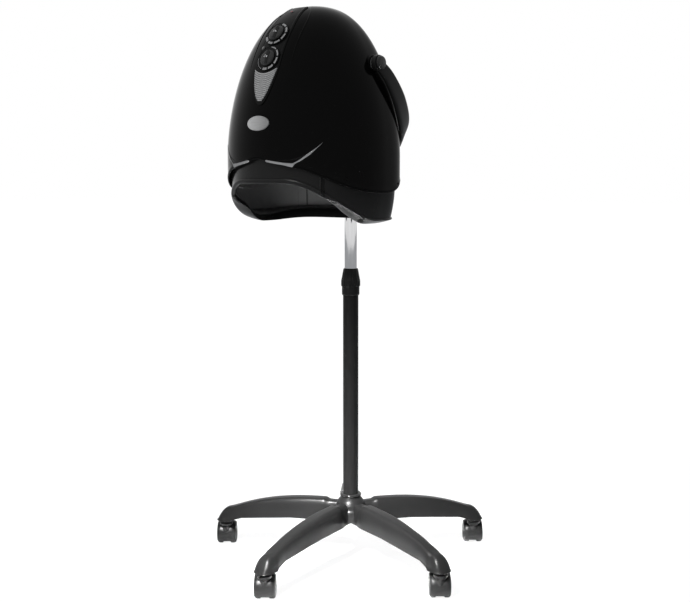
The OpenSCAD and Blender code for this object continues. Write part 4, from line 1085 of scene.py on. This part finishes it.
# %% [markdown]
# ## Studio
# A pale floor, a white surround and soft lamps. The floor keeps the shadow: for the camera it is part
# lit surface and part plain white, and more of the white the farther away it is. Three large lamps
# light the dryer without being mirrored in its gloss; a small narrow one puts highlights on the base.

# %% Floor and world
floor_finish = Finish("pale_floor", Roughness=0.6, Specular_IOR_Level=0.1)
floor_finish.set("Base Color", floor_finish.mix(floor_finish.noise(3, 2), colour(0.86), colour(0.90)))
glow = floor_finish.node("Emission", None, {"Color": (1, 1, 1, 1), "Strength": 1.04})
rays = floor_finish.node("LightPath")
away = floor_finish.node("VectorMath", {"operation": "LENGTH"}, {0: floor_finish.node("TexCoord", out=3)}, out=1)
seen = rays * floor_finish.node("MapRange", None, {"Value": away, 1: 0.5, 2: 2.2, 3: 0.88, 4: 1.0})
lit = Signal(floor_finish, floor_finish.shader.outputs[0])
blend = floor_finish.node("MixShader", None, {0: seen, 1: lit, 2: glow})
floor_finish.tree.links.new(blend.socket, floor_finish.tree.nodes["Material Output"].inputs[0])
floor_mesh = bpy.data.meshes.new("floor")
floor_mesh.from_pydata([(-30, -30, 0), (30, -30, 0), (30, 30, 0), (-30, 30, 0)], [], [(0, 1, 2, 3)])
floor_mesh.materials.append(floor_finish.material)
floor = put("floor", floor_mesh)

scene = bpy.context.scene
world = bpy.data.worlds.new("surround")
scene.world = world
world.use_nodes = True
tree = world.node_tree
tree.nodes.clear()


def surround(kind, *links, operation=None, **values):
    """Output of a new node of the world: links go to its first sockets, values to the sockets they name."""
    made = tree.nodes.new("ShaderNode" + kind)
    if operation:
        made.operation = operation
    for socket, value in values.items():
        made.inputs[socket].default_value = value
    for n, output in enumerate(links):
        tree.links.new(output, made.inputs[n])
    return made.outputs[0]


ray = tree.nodes.new("ShaderNodeLightPath").outputs
bright = surround("Math", ray["Is Camera Ray"], ray["Is Transmission Ray"], operation="MAXIMUM")
bright = surround("Math", bright, ray["Is Glossy Ray"], operation="MAXIMUM")
soft = surround("Background", Color=(0.93, 0.96, 1, 1), Strength=0.42)
plain = surround("Background", Color=(1, 1, 1, 1), Strength=1.0)
tree.links.new(surround("MixShader", bright, soft, plain), tree.nodes.new("ShaderNodeOutputWorld").inputs[0])
print("floor and world made")


# %% Lamps and camera
def softbox(name, place, target, size, watts, mirrored=False, spread=180):
    """An area lamp at a place, turned to a target. Only a mirrored one is seen in glossy surfaces."""
    data = bpy.data.lights.new(name, "AREA")
    data.shape, data.size, data.size_y, data.energy = "RECTANGLE", size[0], size[1], watts
    data.spread = math.radians(spread)
    made = put(name, data)
    made.visible_glossy = mirrored
    made.location = place
    ahead = unit(np.subtract(place, target))
    right = unit(np.cross((0, 0, 1), ahead))
    up = np.cross(ahead, right)
    made.rotation_euler = Matrix(np.stack([right, up, ahead], 1).tolist()).to_euler()


softbox("key_softbox", (-1.6, -3.0, 2.8), (0, -0.1, 0.8), (2.6, 2.6), 75)
softbox("top_softbox", (0.3, 0.2, 3.2), (0, 0, 0.6), (2.4, 2.4), 45)
softbox("low_front_softbox", (-0.02, -1.0, 0.17), (0.05, -0.30, 0.90), (1.1, 0.5), 9)
softbox("base_softbox", (0.35, -1.5, 1.6), (0.05, -0.1, 0.1), (0.34, 0.34), 20, mirrored=True, spread=24)

AZIMUTH, DIP = 37.5, 6.64
WIDTH_PX, AXIS_PX = 690, 350.7
camera_data = bpy.data.cameras.new("view")
camera_data.lens, camera_data.sensor_width = 56.24, 36.0
camera_data.shift_x = -(AXIS_PX - WIDTH_PX / 2) / WIDTH_PX
scene.camera = put("view", camera_data)
scene.camera.location = (1.461, -1.904, 0.8755)
scene.camera.rotation_euler = (math.radians(90 - DIP), 0, math.radians(AZIMUTH))
scene.view_settings.view_transform = "Standard"
